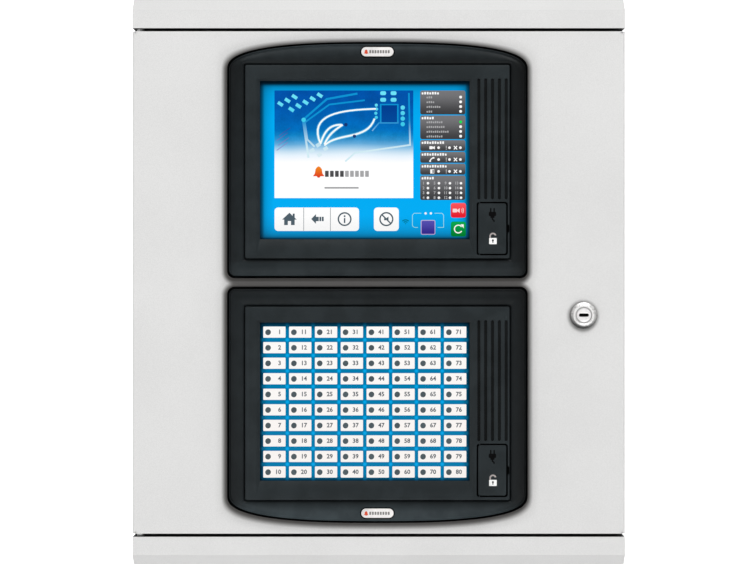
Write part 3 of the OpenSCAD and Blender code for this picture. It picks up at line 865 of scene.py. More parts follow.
@dataclass(frozen=True)
class LatheMetal:
    """Metal turned about an axis along y, with fine rings, painted with light and shade by radius and across its outer
    flank.
    """

    name: str
    colour: Colour
    x: float
    z: float
    roughness: float = 0.22
    # Brightness by radius, as radius and strength: painted light and shade on the face and flank.
    shade_by_radius: Sequence[Flat] = ((0, 1), (20, 1))
    # How much the outer flank lightens towards the right and the top: painted light.
    light_lean: Flat = (0, 0)

    def make(self) -> bpy.types.Material:
        """Mixes the metal and returns its material."""
        r = Recipe(self.name)
        r.set(Metallic=0.45, Specular_IOR_Level=0.6)
        across = r.sum("SUBTRACT", r.axis("X"), self.x)
        up = r.sum("SUBTRACT", r.axis("Z"), self.z)
        radius = r.sum("SQRT", r.sum("ADD", r.sum("MULTIPLY", across, across), r.sum("MULTIPLY", up, up)))
        rings = r.sum("MULTIPLY_ADD", r.sum("SINE", r.sum("MULTIPLY", radius, 34.0)), 0.5, 0.5)
        cloud = r.noise(2.5, 3)
        dull = tuple(c * 0.92 for c in self.colour)
        metal_tone = r.blend(r.fade(cloud, 0.3, 0.7), dull, self.colour)
        # Painted light: beyond the face, the flank grows lighter towards the top and right.
        tilt = r.sum("MULTIPLY_ADD", across, self.light_lean[0], r.sum("MULTIPLY", up, self.light_lean[1]))
        tilt = r.sum("MULTIPLY_ADD", tilt, r.fade(radius, 8.4, 9.6), 1.0)
        metal_tone = r.tint(r.tint(metal_tone, r.levels(radius, self.shade_by_radius)), r.sum("MAXIMUM", tilt, 0.15))
        r.wire(metal_tone, "Base Color")
        r.wire(r.fade(cloud, 0.3, 0.7, self.roughness - 0.05, self.roughness + 0.07), "Roughness")
        r.relief(r.sum("MULTIPLY_ADD", rings, 0.5, r.sum("MULTIPLY", cloud, 0.5)), 0.006, 0.5)
        return r.material


@dataclass(frozen=True)
class Laminate:
    """Circuit board with solder resist over copper tracks and tinned pads."""

    name: str
    colour: Colour

    def make(self) -> bpy.types.Material:
        """Mixes the board's surface and returns its material."""
        r = Recipe(self.name)
        r.set(Specular_IOR_Level=0.5, Coat_Weight=0.35, Coat_Roughness=0.15)
        x, z = r.axis("X"), r.axis("Z")
        lanes = []
        for value, other in ((x, z), (z, x)):
            wave = r.sum("FRACT", r.sum("DIVIDE", value, 2.54))
            lane = r.sum("MULTIPLY", r.fade(wave, 0.30, 0.36), r.fade(wave, 0.66, 0.60))
            patch = r.sum("GREATER_THAN", r.noise(24 if value is x else 31, 0), 0.52)
            lanes.append(r.sum("MULTIPLY", lane, patch))
        tracks = r.sum("MAXIMUM", lanes[0], lanes[1])
        deep = tuple(c * 0.55 for c in self.colour)
        mask = r.blend(r.sum("MULTIPLY", tracks, 0.8), deep, self.colour)
        dot_x = r.sum("SUBTRACT", r.sum("FRACT", r.sum("DIVIDE", x, 5.08)), 0.5)
        dot_z = r.sum("SUBTRACT", r.sum("FRACT", r.sum("DIVIDE", z, 5.08)), 0.5)
        round_ = r.sum("ADD", r.sum("MULTIPLY", dot_x, dot_x), r.sum("MULTIPLY", dot_z, dot_z))
        dots = r.sum("MULTIPLY", r.fade(round_, 0.028, 0.022), r.sum("GREATER_THAN", r.noise(14, 0), 0.56))
        r.wire(r.blend(dots, mask, (0.62, 0.60, 0.55)), "Base Color")
        r.wire(dots, "Metallic")
        r.wire(r.fade(r.noise(3, 2), 0.3, 0.7, 0.30, 0.42), "Roughness")
        r.relief(r.sum("MAXIMUM", tracks, dots), 0.03, 0.5)
        return r.material


@dataclass(frozen=True)
class Lit:
    """A glowing surface, shaded from its lower to its upper colour: a lit part of a screen or an indicator, or painted
    light on an unlit label or figure.
    """

    name: str
    lower: Colour
    upper: Colour
    span: Flat = (0, 1)
    glow: float = 0.85
    grain: float = 0.03

    def make(self) -> bpy.types.Material:
        """Mixes the lit surface and returns its material."""
        r = Recipe(self.name)
        r.set(Roughness=0.25, Specular_IOR_Level=0.03, Emission_Strength=self.glow)
        height = r.fade(r.axis("Z"), self.span[0], self.span[1])
        colour = r.blend(height, self.lower, self.upper)
        cells = r.fade(r.noise(0.5, 1), 0.3, 0.7, 1 - self.grain, 1 + self.grain)
        scaled = r.tint(colour, cells)
        r.wire(scaled, "Emission Color")
        r.wire(r.tint(colour, 0.04), "Base Color")
        return r.material


@dataclass(frozen=True)
class WindowGround:
    """The glowing ground of a window, darkened with painted shade towards the frame round it.

    Each fall-off is a list of distances from that edge in millimetres and strengths there.
    """

    name: str
    colour: Colour
    x: Flat
    z: Flat
    top: Sequence[Flat] = ((2.0, 0.0), (3.0, 0.14), (4.0, 0.40), (5.2, 0.58), (7, 0.70), (10, 0.80), (17, 0.90), (34, 1))
    low: Sequence[Flat] = ((0, 0.03), (1.0, 0.09), (1.8, 0.30), (3, 0.44), (5, 0.60), (8, 0.75), (12, 0.87), (20, 1))
    sides: Sequence[Flat] = ((0, 0.05), (1.5, 0.14), (2.5, 0.31), (3.3, 0.54), (4.2, 0.68), (6, 0.81), (8, 0.89), (11, 1))
    lattice: Optional[tuple[Flat, Flat]] = None
    # Colour where the label gaps cross, clear of the labels' painted shade.
    bright: Colour = (0, 0, 0)
    glow: float = 1.0

    def make(self) -> bpy.types.Material:
        """Mixes the ground and returns its material."""
        r = Recipe(self.name)
        r.set(Roughness=0.25, Specular_IOR_Level=0.03, Emission_Strength=self.glow)
        x, z = r.axis("X"), r.axis("Z")
        colour: object = self.colour
        # Painted shade: with a lattice, the ground is darker along the labels' edges and keeps the bright colour where
        # their gaps cross.
        if self.lattice:
            colour = r.blend(self.crossings(r, x, z), self.colour, self.bright)
        light = r.sum("MULTIPLY", 1.0, r.fade(r.noise(0.6, 1), 0.3, 0.7, 0.985, 1.015))
        for distance, falls in (
            (r.sum("SUBTRACT", self.z[1], z), self.top), (r.sum("SUBTRACT", z, self.z[0]), self.low),
            (r.sum("SUBTRACT", x, self.x[0]), self.sides), (r.sum("SUBTRACT", self.x[1], x), self.sides),
        ):
            light = r.sum("MULTIPLY", light, r.levels(distance, falls))
        r.wire(r.tint(colour, light), "Emission Color")
        r.wire(r.tint(colour, 0.03), "Base Color")
        return r.material

    def crossings(self, r: Recipe, x: Socket, z: Socket) -> Socket:
        """Finds where the gaps between the labels cross, clear of the labels' painted shade.

        Args:
            r: The recipe being built.
            x: Place across.
            z: Height.

        Returns:
            1 at a crossing, fading to 0 along the gaps.
        """
        parts = []
        for value, (start, pitch) in zip((x, z), self.lattice or ()):
            wave = r.sum("FRACT", r.sum("DIVIDE", r.sum("SUBTRACT", value, start), pitch))
            away = r.sum("MULTIPLY", r.sum("ABSOLUTE", r.sum("SUBTRACT", wave, 0.5)), pitch)
            parts.append(r.fade(away, 2.3, 0.3))
        return r.sum("MULTIPLY", parts[0], parts[1])


# ---- Fitting ----


def fit(piece: Piece, body: str, finish: bpy.types.Material,
        replaces: Sequence[str] = ()) -> Piece:
    """Gives a finished piece its material and its body, and hides the frame nodes that it stands for.

    Args:
        piece: The piece.
        body: Body that it moves with.
        finish: Its material.
        replaces: Frame nodes that it stands for.

    Returns:
        The piece.
    """
    piece.data.materials.clear()
    piece.data.materials.append(finish)
    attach(piece, body)
    if replaces:
        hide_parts(*replaces)
    LOG.info("%s rides on %s, %d faces", piece.name, body, len(piece.data.polygons))
    return piece


def dress(node: str, finish: bpy.types.Material) -> None:
    """Gives a frame node a better material.

    Args:
        node: Name of the node.
        finish: Its new material.
    """
    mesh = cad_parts[node].data
    mesh.materials.clear()
    mesh.materials.append(finish)
    LOG.info("%s is dressed in %s", node, finish.name)


@dataclass
class Palette:
    """The finishes that several assemblies share."""

    zinc: bpy.types.Material = field(init=False)
    zinc_upright: bpy.types.Material = field(init=False)
    brass: bpy.types.Material = field(init=False)
    black: bpy.types.Material = field(init=False)
    ivory: bpy.types.Material = field(init=False)
    laminate: bpy.types.Material = field(init=False)
    mesh: bpy.types.Material = field(init=False)
    edge: bpy.types.Material = field(init=False)
    charcoal: bpy.types.Material = field(init=False)
    nickel: bpy.types.Material = field(init=False)
    ink_white: bpy.types.Material = field(init=False)
    ink_grey: bpy.types.Material = field(init=False)
    ink_black: bpy.types.Material = field(init=False)

    def __post_init__(self) -> None:
        """Mixes every shared finish."""
        self.zinc = Metal("zinc plate", (0.56, 0.57, 0.56), 0.38, Grain.ALONG_X, 5.0).make()
        self.zinc_upright = Metal("zinc plate, upright", (0.60, 0.61, 0.60), 0.34, Grain.ALONG_Z, 6.0).make()
        self.brass = Metal("brass", (0.70, 0.50, 0.20), 0.28, Grain.ALONG_Z).make()
        self.nickel = Metal("satin nickel", (0.66, 0.64, 0.60), 0.26, Grain.ALONG_X).make()
        self.black = Moulding("black moulding", (0.012, 0.012, 0.013), 0.5, 0.5).make()
        self.ivory = Moulding("ivory nylon", (0.66, 0.62, 0.50), 0.42, 0.8, gloss=0.5).make()
        self.laminate = Laminate("circuit laminate", (0.012, 0.12, 0.045)).make()
        # Near-black, dull plastic that stands for shade: on the bezels' edges, in the badge seats and round the flaps.
        self.edge = Moulding("painted shade black", (0.0007, 0.0009, 0.0010), 0.80, 0.40, 0.006, 0.0).make()
        self.mesh = Moulding("vent mesh", (0.0085, 0.0095, 0.0100), 0.8, 0.9, 0.05, 0.05).make()
        self.charcoal = Moulding("frame charcoal", (0.0155, 0.0208, 0.0232), 0.50, 0.30, 0.010, 0.15).make()
        self.ink_white = Moulding("white ink", (0.86, 0.86, 0.85), 0.5, 0.3, 0.004, 0.3).make()
        self.ink_grey = Moulding("grey ink", shade(168, 160, 158), 0.5, 0.3, 0.004, 0.2).make()
        self.ink_black = Moulding("black ink", (0.0010, 0.0010, 0.0012), 0.6, 0.3, 0.004, 0.05).make()


def bowed_shape(name: str, side: Side) -> BowedShape:
    """Finds a module's bezel outline from the frame.

    Args:
        name: Name of the module.
        side: Which way up it is hung.

    Returns:
        The outline.
    """
    low, high = node_box(f"{name}_inner_frame")
    outer_low, outer_high = node_box(f"{name}_fascia")
    x, z = (low.x + high.x) / 2, (low.z + high.z) / 2
    reach = sorted((outer_high.z - z, z - outer_low.z))
    return BowedShape(x, z, side, (outer_high.x - outer_low.x) / 2, reach[1], reach[0])


# ---- Assemblies ----


@dataclass
class Cabinet:
    """The folded cabinet and its end caps."""

    palette: Palette
    paint: Colour = (0.735, 0.733, 0.727)
    bend: float = 2.0

    def build(self) -> None:
        """Paints the cabinet and rounds the caps' folds."""
        low, high = node_box("door_panel")
        lines = (high.z - 0.2, high.z + 2.7)
        # Painted shade: the coat darkens inside the shut lines.
        coat = PowderCoat("cabinet powder coat", self.paint, lines).make()
        for node in ("cabinet_body", "top_cap", "bottom_cap"):
            dress(node, coat)
        for node in ("top_cap", "bottom_cap"):
            self.round_folds(node)
        dress("hinge_pins", self.palette.zinc_upright)

    def round_folds(self, node: str) -> None:
        """Rounds a node's sharp folds with live modifiers, which leave its mesh as it was.

        Args:
            node: Name of the node.
        """
        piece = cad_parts[node]
        weld = piece.modifiers.new("weld", "WELD")
        weld.merge_threshold = 1e-6
        bevel = piece.modifiers.new("folds", "BEVEL")
        bevel.width = self.bend * MM
        bevel.segments = 3
        bevel.limit_method = "ANGLE"
        bevel.angle_limit = math.radians(30)
        bevel.harden_normals = True


@dataclass
class Door:
    """The folded door, its seal and its hinge bushes."""

    palette: Palette
    paint: Colour = (0.735, 0.733, 0.727)

    def build(self) -> None:
        """Paints the door and dresses what is fixed to it."""
        low, high = node_box("door_panel")
        bezels = [bowed_shape(name, side) for name, side in (("display", Side.UPPER), ("zone", Side.LOWER))]
        lock_low, lock_high = node_box("lock_housing")
        rose = ((lock_low.x + lock_high.x) / 2, (lock_low.z + lock_high.z) / 2, 11.2)
        # Painted shadow round the bezels and the lock's rose, and painted shade in the shut lines.
        coat = PowderCoat(
            "door powder coat", self.paint, (high.z - 0.2, high.z + 2.7), bezels, rose
        ).make()
        dress("door_panel", coat)
        dress("door_seal", Moulding("seal foam", (0.010, 0.010, 0.010), 0.9, 0.9, 0.08, 0.1).make())
        dress("hinge_bushes", self.palette.ivory)


@dataclass
class CamLock:
    """The round key lock in the door."""

    palette: Palette
    slot: Flat = (8.2, 2.7)

    def build(self) -> None:
        """Turns the lock's housing and plug and dresses its nut and cam."""
        low, high = node_box("lock_housing")
        x, z, front, back = (low.x + high.x) / 2, (low.z + high.z) / 2, low.y, high.y
        # The chrome's table paints light and shade by radius: a bright face and a flank that darkens outwards; its
        # lean lights the flank's upper right.
        chrome = LatheMetal(
            "lock chrome", (0.97, 0.96, 0.95), x, z, 0.30,
            ((5.9, 0.55), (6.6, 0.6), (7.0, 1), (8.4, 1), (9.0, 0.62), (10.2, 0.42), (10.9, 0.26), (11.3, 0.14)),
            (0.022, 0.085)).make()
        # The core's table paints shade round its rim.
        core = LatheMetal("lock core", (0.97, 0.95, 0.95), x, z, 0.42,
                          ((0, 1), (5.5, 1), (5.75, 0.55), (6.2, 0.5), (6.6, 0.7))).make()
        door = node_box("door_panel")[0].y
        rose = [(6.55, front + 0.9), (7.35, front + 0.15), (7.7, front), (8.3, front + 0.02),
                (8.7, front + 0.35), (8.9, front + 0.9), (9.3, front + 1.15), (10.2, front + 1.5),
                (10.8, front + 2.1), (11.1, front + 3.0), (11.25, door - 0.5), (11.25, door),
                (9.5, door + 0.02)]
        thread = [(9.5 - 0.35 * (i % 2), door + 0.5 + 0.55 * i) for i in range(34)]
        thread += [(9.1, back), (6.55, back), (6.55, front + 0.9)]
        loops = [[(x + radius * math.cos(math.tau * i / 96), depth,
                   z + radius * math.sin(math.tau * i / 96)) for i in range(96)]
                 for radius, depth in rose + thread]
        housing = Bench.smooth(Bench.lofted("lock_rose", loops), 40)
        fit(housing, "door", chrome, ["lock_housing"])
        p_low, p_high = node_box("lock_plug")
        plug = Bench.turned("lock_core", x, z, [
            (4.0, p_high.y), (4.0, p_high.y - 3.1), (6.5, p_high.y - 3.1), (6.5, p_low.y + 0.6),
            (6.1, p_low.y + 0.15), (5.6, p_low.y), (4.9, p_low.y + 0.05), (4.7, p_low.y + 0.3),
            (4.4, p_low.y + 0.3)])
        half, radius = self.slot[0] / 2, self.slot[1] / 2
        shape = Outline.rounded((x - half, x + half), (z - radius, z + radius), radius - 0.05)
        Bench.cut(plug, [Bench.prism("slot", shape, p_low.y - 1, p_low.y + 5)])
        Bench.soften(plug, 0.12, 2, 40)
        fit(plug, "lock_barrel", core, ["lock_plug"])
        # Painted shade: a black piece at the back of the key slot, where the slot is in shade.
        shadow = Bench.prism("key_way_shadow", Outline.rounded((x - half + 0.1, x + half - 0.1),
                             (z - radius + 0.1, z + radius - 0.1), radius - 0.2),
                             p_low.y + 1.6, p_low.y + 4.9)
        fit(shadow, "lock_barrel", self.palette.ink_black)
        dress("lock_nut", self.palette.zinc)
        dress("lock_cam", self.palette.zinc_upright)


@dataclass
class DoorModule:
    """What both modules on the door share: bezel, frame, badge, flap and service bay."""

    name: str
    side: Side
    palette: Palette
    trim: float = 1.85
    rim: float = 3.7
    crown: float = 0.9
    groove: float = 0.9
    window_at: Flat = (-10.3, 1.3)
    window_half: Flat = (85.6, 64.6)
    vent_first: float = 82.76
    vent_pitch: float = 5.57
    vent_count: int = 5
    vent_z: Flat = (-30.8, 67.9)
    vent_width: float = 2.5
    flap_x: Flat = (80.9, 106.4)
    flap_z: Flat = (-76.5, -32.8)
    flap_gap: float = 1.3
    badge_z: float = 89.9
    badge_half: Flat = (13.2, 3.8)

    def __post_init__(self) -> None:
        """Finds the module's place from the frame."""
        low, high = node_box(f"{self.name}_inner_frame")
        self.shape = bowed_shape(self.name, self.side)
        self.x, self.z = self.shape.x, self.shape.z
        self.half = ((high.x - low.x) / 2, (high.z - low.z) / 2)
        self.front, self.seat = low.y, high.y
        self.door = node_box("door_panel")[0].y
        self.glass = self.front + 3.4

    def pocket(self, half: Flat, base: Sequence[Flat]) -> list[Flat]:
        """Matches each outline point to a point on a rectangle, so that the sides mitre.

        Args:
            half: The rectangle's half width and half height.
            base: The outline's points.

        Returns:
            The matching points.
        """
        def corner(across: int, up: int) -> int:
            """Finds the outline point on the mitre line from one corner."""
            inside = [i for i, (u, v) in enumerate(base) if u * across > 90 and v * up > 60]
            return min(inside, key=lambda i: abs((abs(base[i][0]) - half[0]) - (abs(base[i][1]) - half[1])))

        marks = [corner(1, 1), corner(-1, 1), corner(-1, -1), corner(1, -1)]
        ends = [(half[0], half[1]), (-half[0], half[1]), (-half[0], -half[1]), (half[0], -half[1])]
        total = len(base)
        result: list[Flat] = [(0.0, 0.0)] * total
        for k in range(4):
            start, stop = marks[k], marks[(k + 1) % 4]
            run = [(start + i) % total for i in range((stop - start) % total + 1)]
            steps = [0.0]
            for a, b in zip(run, run[1:]):
                steps.append(steps[-1] + math.dist(base[a], base[b]))
            for index, along in zip(run, steps):
                part = along / steps[-1]
                result[index] = tuple(a + (b - a) * part for a, b in zip(ends[k], ends[(k + 1) % 4]))
        return result

    def at(self, points: Sequence[Flat], depth: float) -> list[Solid]:
        """Places outline points on the door at a depth, bow outwards."""
        return [(self.x + u, depth, self.z + self.side.value * v) for u, v in points]

    def build_bezel(self) -> None:
        """Makes the bezel: a rolled edge whose near-black is painted shade, a crowned face with mitred corners, and
        studs.
        """
        roll = [(0, 0), (0, 3.4), (0.08, 4.1), (0.3, 4.7), (0.7, 5.2), (1.2, 5.5), (1.6, 5.62),
                (self.trim, 5.66), (self.trim, 0), (0, 0)]
        edge = Bench.lofted(f"{self.name}_bezel_edge", [
            self.at(self.shape.points(inset), self.door - height) for inset, height in roll])
        # Painted shade: the rolled edge is the bezel's plastic made near-black and dull, for the shade on its steep
        # side.
        fit(Bench.smooth(edge, 40), "door", self.palette.edge)
        ridge = [(self.trim + 0.02, 0), (self.trim + 0.02, 5.6), (2.05, 5.88), (2.25, 6.0), (2.5, 5.95),
                 (2.75, 5.6), (3.0, 5.2), (3.3, 5.0), (self.rim, 4.95)]
        loops = [self.at(self.shape.points(inset), self.door - height) for inset, height in ridge]
        base = self.shape.points(self.rim)
        inner = self.pocket((self.half[0] + self.groove, self.half[1] + self.groove), base)
        for part in (0.05, 0.12, 0.2, 0.3, 0.42, 0.55, 0.68, 0.8, 0.88, 0.94, 0.98, 1.0):
            crown = 4.95 + self.crown * math.sin(math.pi * part) - 0.15 * part
            crown -= 0.35 * max(0.0, (part - 0.94) / 0.06) ** 2
            mixed = [(a[0] + (b[0] - a[0]) * part, a[1] + (b[1] - a[1]) * part)
                     for a, b in zip(base, inner)]
            loops.append(self.at(mixed, self.door - crown))
        ledge = self.pocket((107.0, 77.2), base)
        loops += [self.at(inner, self.door - 1.5), self.at(ledge, self.door - 1.5),
                  self.at(ledge, self.door), loops[0]]
        bezel = Bench.smooth(Bench.lofted(f"{self.name}_bezel", loops), 38)
        wide, high = self.badge_half[0] + 1.0, self.badge_half[1] + 1.0
        height = self.z + self.side.value * self.badge_z
        seat = Outline.rounded((self.x - wide, self.x + wide), (height - high, height + high), high - 0.01, 10)
        Bench.cut(bezel, [Bench.prism("seat", seat, self.door - 8, self.door - 3.8)])
        studs = [Bench.turned("stud", self.x + u, self.z + v,
                              [(2.0, self.door)] + [(2.0 - 0.22 * (i % 2), self.door + 0.6 + 0.42 * i)
                                                    for i in range(20)] + [(1.4, self.door + 9)], 20)
                 for u in (-115, 115) for v in (-62, 0, 62)]
        fit(Bench.join(f"{self.name}_studs", studs), "door", self.palette.zinc)
        fit(bezel, "door", self.bezel_black_with_painted_light(), [f"{self.name}_fascia"])
        # Painted shade: a near-black floor in the badge's seat, where the recess is in shade.
        wide, high = wide - 0.05, high - 0.05
        floor = Outline.rounded((self.x - wide, self.x + wide), (height - high, height + high), high - 0.01, 10)
        fit(Bench.prism(f"{self.name}_badge_seat", floor, self.door - 4.3, self.door - 3.7), "door",
            self.palette.edge)

    def bezel_black_with_painted_light(self) -> bpy.types.Material:
        """Mixes the bezel's plastic with painted light and shade: paler along the bow's rim and darker to the right.
        """
        sign, foot = self.side.value, self.shape.edge
        # Painted light and shade: strengths by height and across, following how the light falls on the crowned face.
        heights = [(-foot, 1.9), (3 - foot, 1.75), (12 - foot, 1.3), (14 - foot, 0.9), (0, 0.9),
                   (79, 0.55), (82, 0.7), (90, 1.4), (self.shape.apex - 3.5, 2.3), (self.shape.apex, 2.5)]
        if sign < 0:
            heights = [(-foot, 0.5), (3 - foot, 0.6), (13 - foot, 0.9), (0, 0.9), (79, 0.8), (82, 1.3),
                       (88, 2.6), (self.shape.apex - 3.5, 3.3), (self.shape.apex, 3.4)]
        up = sorted((self.z + sign * place, strength) for place, strength in heights)
        along = [(self.x + place, strength) for place, strength in
                 ((-123, 0.74), (-112, 1.3), (-107, 1.4), (107, 1.0), (112, 0.8), (119, 0.38), (123, 0.3))]
        return Moulding(f"{self.name} bezel black", (0.0078, 0.0108, 0.0122), 0.42, 0.40, 0.008, 0.16,
                        slopes=(("Z", up), ("X", along))).make()

    def build_badge(self) -> None:
        """Makes the plain white badge with its thin ring and small pictogram."""
        height = self.z + self.side.value * self.badge_z
        wide, high = self.badge_half
        pill = Outline.rounded((self.x - wide, self.x + wide), (height - high, height + high), high - 0.01, 12)
        plate = Bench.soften(Bench.prism(f"{self.name}_badge_plate", pill, self.door - 5.6, self.door - 3.9), 0.45, 3)
        glaze = Moulding(f"{self.name} badge glaze", (0.80, 0.775, 0.76), 0.25, 0.6, 0.003, 0.5).make()
        fit(plate, "door", glaze, [f"{self.name}_badge"])
        face = self.door - 5.6
        bell = Bench.prism("mark", self.bell(self.x - 9.2, height - 0.1, 1.9), face - 0.03, face + 0.05)
        red = Moulding(f"{self.name} badge red", shade(214, 74, 40), 0.4, 0.4, 0.003, 0.3).make()
        fit(Bench.join(f"{self.name}_badge_mark", [bell]), "door", red)
        bars = [Bench.prism("bar", Outline.rounded((self.x - 6.6 + 2.15 * i, self.x - 5.1 + 2.15 * i),
                            (height - 1.25, height + 1.25), 0.3), face - 0.03, face + 0.05) for i in range(8)]
        grey = Moulding(f"{self.name} badge grey", shade(120, 118, 116), 0.4, 0.4, 0.003, 0.3).make()
        fit(Bench.join(f"{self.name}_badge_bars", bars), "door", grey)

    @staticmethod
    def bell(x: float, z: float, size: float) -> list[Flat]:
        """Draws a plain bell.

        Args:
            x: Its middle.
            z: Its middle's height.
            size: Half its height.

        Returns:
            The points.
        """
        half = [(0.0, 1.0), (0.28, 0.86), (0.55, 0.5), (0.62, 0.0), (0.72, -0.38), (0.95, -0.62),
                (0.95, -0.74), (0.32, -0.74), (0.22, -0.95), (0.0, -1.0)]
        points = [(x - u * size, z + v * size) for u, v in half]
        return points + [(x + u * size, z + v * size) for u, v in reversed(half[1:-1])]

    def build_frame(self) -> None:
        """Makes the frame round the window, with its slopes, vent slots and flap opening."""
        x, z, front = self.x, self.z, self.front + 0.05
        body = Bench.prism(f"{self.name}_frame", Outline.rounded(
            (x - self.half[0], x + self.half[0]), (z - self.half[1], z + self.half[1]), 1.4, 5),
            front, self.seat)
        Bench.soften(body, 0.5, 3, 60)
        hollow = Bench.block("hollow", (x - 106.6, front + 3, z - 77.7), (x + 106.6, self.seat + 1, z + 77.7))
        wx, wz = x + self.window_at[0], z + self.window_at[1]
        hx, hz = self.window_half

        def rectangle(left: float, right: float, low: float, high: float, depth: float) -> list[Solid]:
            """Gives a rectangle's corners, measured out from the window's edges."""
            return [(wx + hx + right, depth, wz + hz + high), (wx - hx - left, depth, wz + hz + high),
                    (wx - hx - left, depth, wz - hz - low), (wx + hx + right, depth, wz - hz - low)]

        over = 1 + 0.5 / 1.8
        window = Bench.lofted("window", [
            rectangle(2.8 * over, 2.8 * over, 11.5 * over, 1.9 * over, front - 0.5),
            rectangle(0, 0, 0, 0, front + 1.8), rectangle(0, 0, 0, 0, front + 4)], True)
        flap = Bench.prism("flap", Outline.rounded(
            (x + self.flap_x[0], x + self.flap_x[1]), (z + self.flap_z[0], z + self.flap_z[1]), 2.4),
            front - 1, front + 4)
        middle = z + sum(self.flap_z) / 2
        notch = Bench.prism("notch", Outline.rounded(
            (x + self.flap_x[1] - 2, x + self.flap_x[1] + 1.2), (middle - 3.3, middle + 3.3), 1.0),
            front - 1, front + 2)
        slot = Outline.rounded(
            (x + self.vent_first - self.vent_width / 2, x + self.vent_first + self.vent_width / 2),
            (z + self.vent_z[0], z + self.vent_z[1]), self.vent_width / 2 - 0.01, 8)
        vents = Bench.array(Bench.prism("vents", slot, front - 1, front + 4), self.vent_count, self.vent_pitch)
        Bench.cut(body, [hollow, window, flap, notch, vents])
        Bench.soften(body, 0.28, 2, 24)
        fit(body, "door", self.palette.charcoal, [f"{self.name}_inner_frame"])
        mesh = Bench.array(Bench.prism("mesh", slot, front + 1.1, front + 1.7), self.vent_count, self.vent_pitch)
        fit(Bench.join(f"{self.name}_vent_mesh", [mesh]), "door", self.palette.mesh)
        # Painted shade: a near-black liner behind the flap's gap, and a black patch where the thumb notch is in shade.
        rim = Bench.prism(f"{self.name}_flap_rim", Outline.rounded(
            (x + self.flap_x[0] - 0.2, x + self.flap_x[1] + 0.2),
            (z + self.flap_z[0] - 0.2, z + self.flap_z[1] + 0.2), 2.5), front + 0.75, front + 2.6)
        inset = self.flap_gap - 0.2
        Bench.cut(rim, [Bench.prism("inside", Outline.rounded(
            (x + self.flap_x[0] + inset, x + self.flap_x[1] - inset),
            (z + self.flap_z[0] + inset, z + self.flap_z[1] - inset), 1.8), front, front + 4)])
        thumb = Bench.prism("thumb", Outline.rounded(
            (x + self.flap_x[1] - 0.3, x + self.flap_x[1] + 1.4), (middle - 3.5, middle + 3.5), 0.8),
            front + 0.25, front + 2.6)
        fit(Bench.join(f"{self.name}_flap_rim", [rim, thumb]), "door", self.palette.edge)
        dress(f"{self.name}_vent_gauze", self.palette.ink_black)

    def build_flap(self) -> None:
        """Makes the service flap with its pegs and its two pictograms."""
        gap, front = self.flap_gap, self.front + 0.06
        left, right = self.x + self.flap_x[0] + gap, self.x + self.flap_x[1] - gap
        low, high = self.z + self.flap_z[0] + gap, self.z + self.flap_z[1] - gap
        leaf = Bench.prism(f"{self.name}_flap_leaf", Outline.rounded((left, right), (low, high), 1.7),
                           front, front + 1.9)
        Bench.soften(leaf, 0.4, 3, 50)
        pegs = [Bench.block("peg", (left + 0.5, front + 0.5, z - 1.1), (left + 1.6, front + 1.5, z + 1.1), 0.3)
                for z in (low - 1.1, high + 1.1)]
        body = f"{self.name}_flap_body"
        fit(Bench.join(f"{self.name}_flap_leaf", [leaf, *pegs]), body,
            self.palette.charcoal, [f"{self.name}_flap"])
        x, z = self.x + 93.8, self.z - 43.6
        parts = [
            Outline.rounded((x - 3.0, x + 3.0), (z - 0.9, z + 2.6), 0.9),
            Outline.rounded((x - 1.95, x - 0.85), (z + 2.4, z + 5.7), 0.4),
            Outline.rounded((x + 0.85, x + 1.95), (z + 2.4, z + 5.7), 0.4),
            Outline.rounded((x - 1.7, x + 1.7), (z - 2.4, z - 0.8), 0.6),
            Outline.line([(x, z - 2.2), (x, z - 3.5), (x + 1.3, z - 4.5), (x + 1.3, z - 5.7)], 1.1),
        ]
        plug = [Bench.prism("plug", shape, front - 0.03, front + 0.05) for shape in parts]
        fit(Bench.join(f"{self.name}_flap_plug_sign", plug), body, self.palette.ink_black)
        x, z = self.x + 94.2, self.z - 64.8
        box = Bench.prism("lock", Outline.rounded((x - 3.1, x + 3.1), (z - 2.55, z + 2.5), 0.45),
                          front - 0.03, front + 0.05)
        fit(Bench.join(f"{self.name}_flap_lock_sign", [box]), body, self.palette.ink_white)
        parts = [
            Outline.arc_band(x, z + 3.95, 1.65, 2.85, 16, 180),
            Outline.rounded((x - 2.85, x - 1.65), (z + 2.6, z + 4.0), 0.1),
        ]
        bow = [Bench.prism("bow", shape, front - 0.03, front + 0.05) for shape in parts]
        fit(Bench.join(f"{self.name}_flap_bow_sign", bow), body, self.palette.ink_grey)
        hole = [Bench.prism("hole", shape, front - 0.05, front + 0.04) for shape in (
            Outline.ring(x, z + 0.6, 0.8), Outline.rounded((x - 0.4, x + 0.4), (z - 1.4, z + 0.5), 0.2))]
        fit(Bench.join(f"{self.name}_flap_key_sign", hole), body, self.palette.charcoal)

    def build_rear(self) -> None:
        """Dresses what is behind the door: cover, nuts, board, bay, socket and key switch."""
        dress(f"{self.name}_rear_cover", self.palette.zinc_upright)
        dress(f"{self.name}_fixings", self.palette.zinc)
        dress(f"{self.name}_board", self.palette.laminate)
        dress(f"{self.name}_service_bay", self.palette.black)
        dress(f"{self.name}_usb_socket", self.palette.nickel)
        dress(f"{self.name}_key_housing", self.palette.nickel)
        dress(f"{self.name}_key_plug", self.palette.zinc)
        low, high = node_box(f"{self.name}_usb_socket")
        x, z = (low.x + high.x) / 2, (low.z + high.z) / 2
        tongue = Bench.block(f"{self.name}_usb_tongue", (x - 5.3, low.y + 0.8, z + 0.1), (x + 5.3, low.y + 6, z + 1.8), 0.2)
        fit(tongue, "door", self.palette.ivory)

    def build(self) -> None:
        """Builds the module from the bezel inwards."""
        self.build_bezel()
        self.build_badge()
        self.build_frame()
        self.build_flap()
        self.build_rear()
        self.build_window()

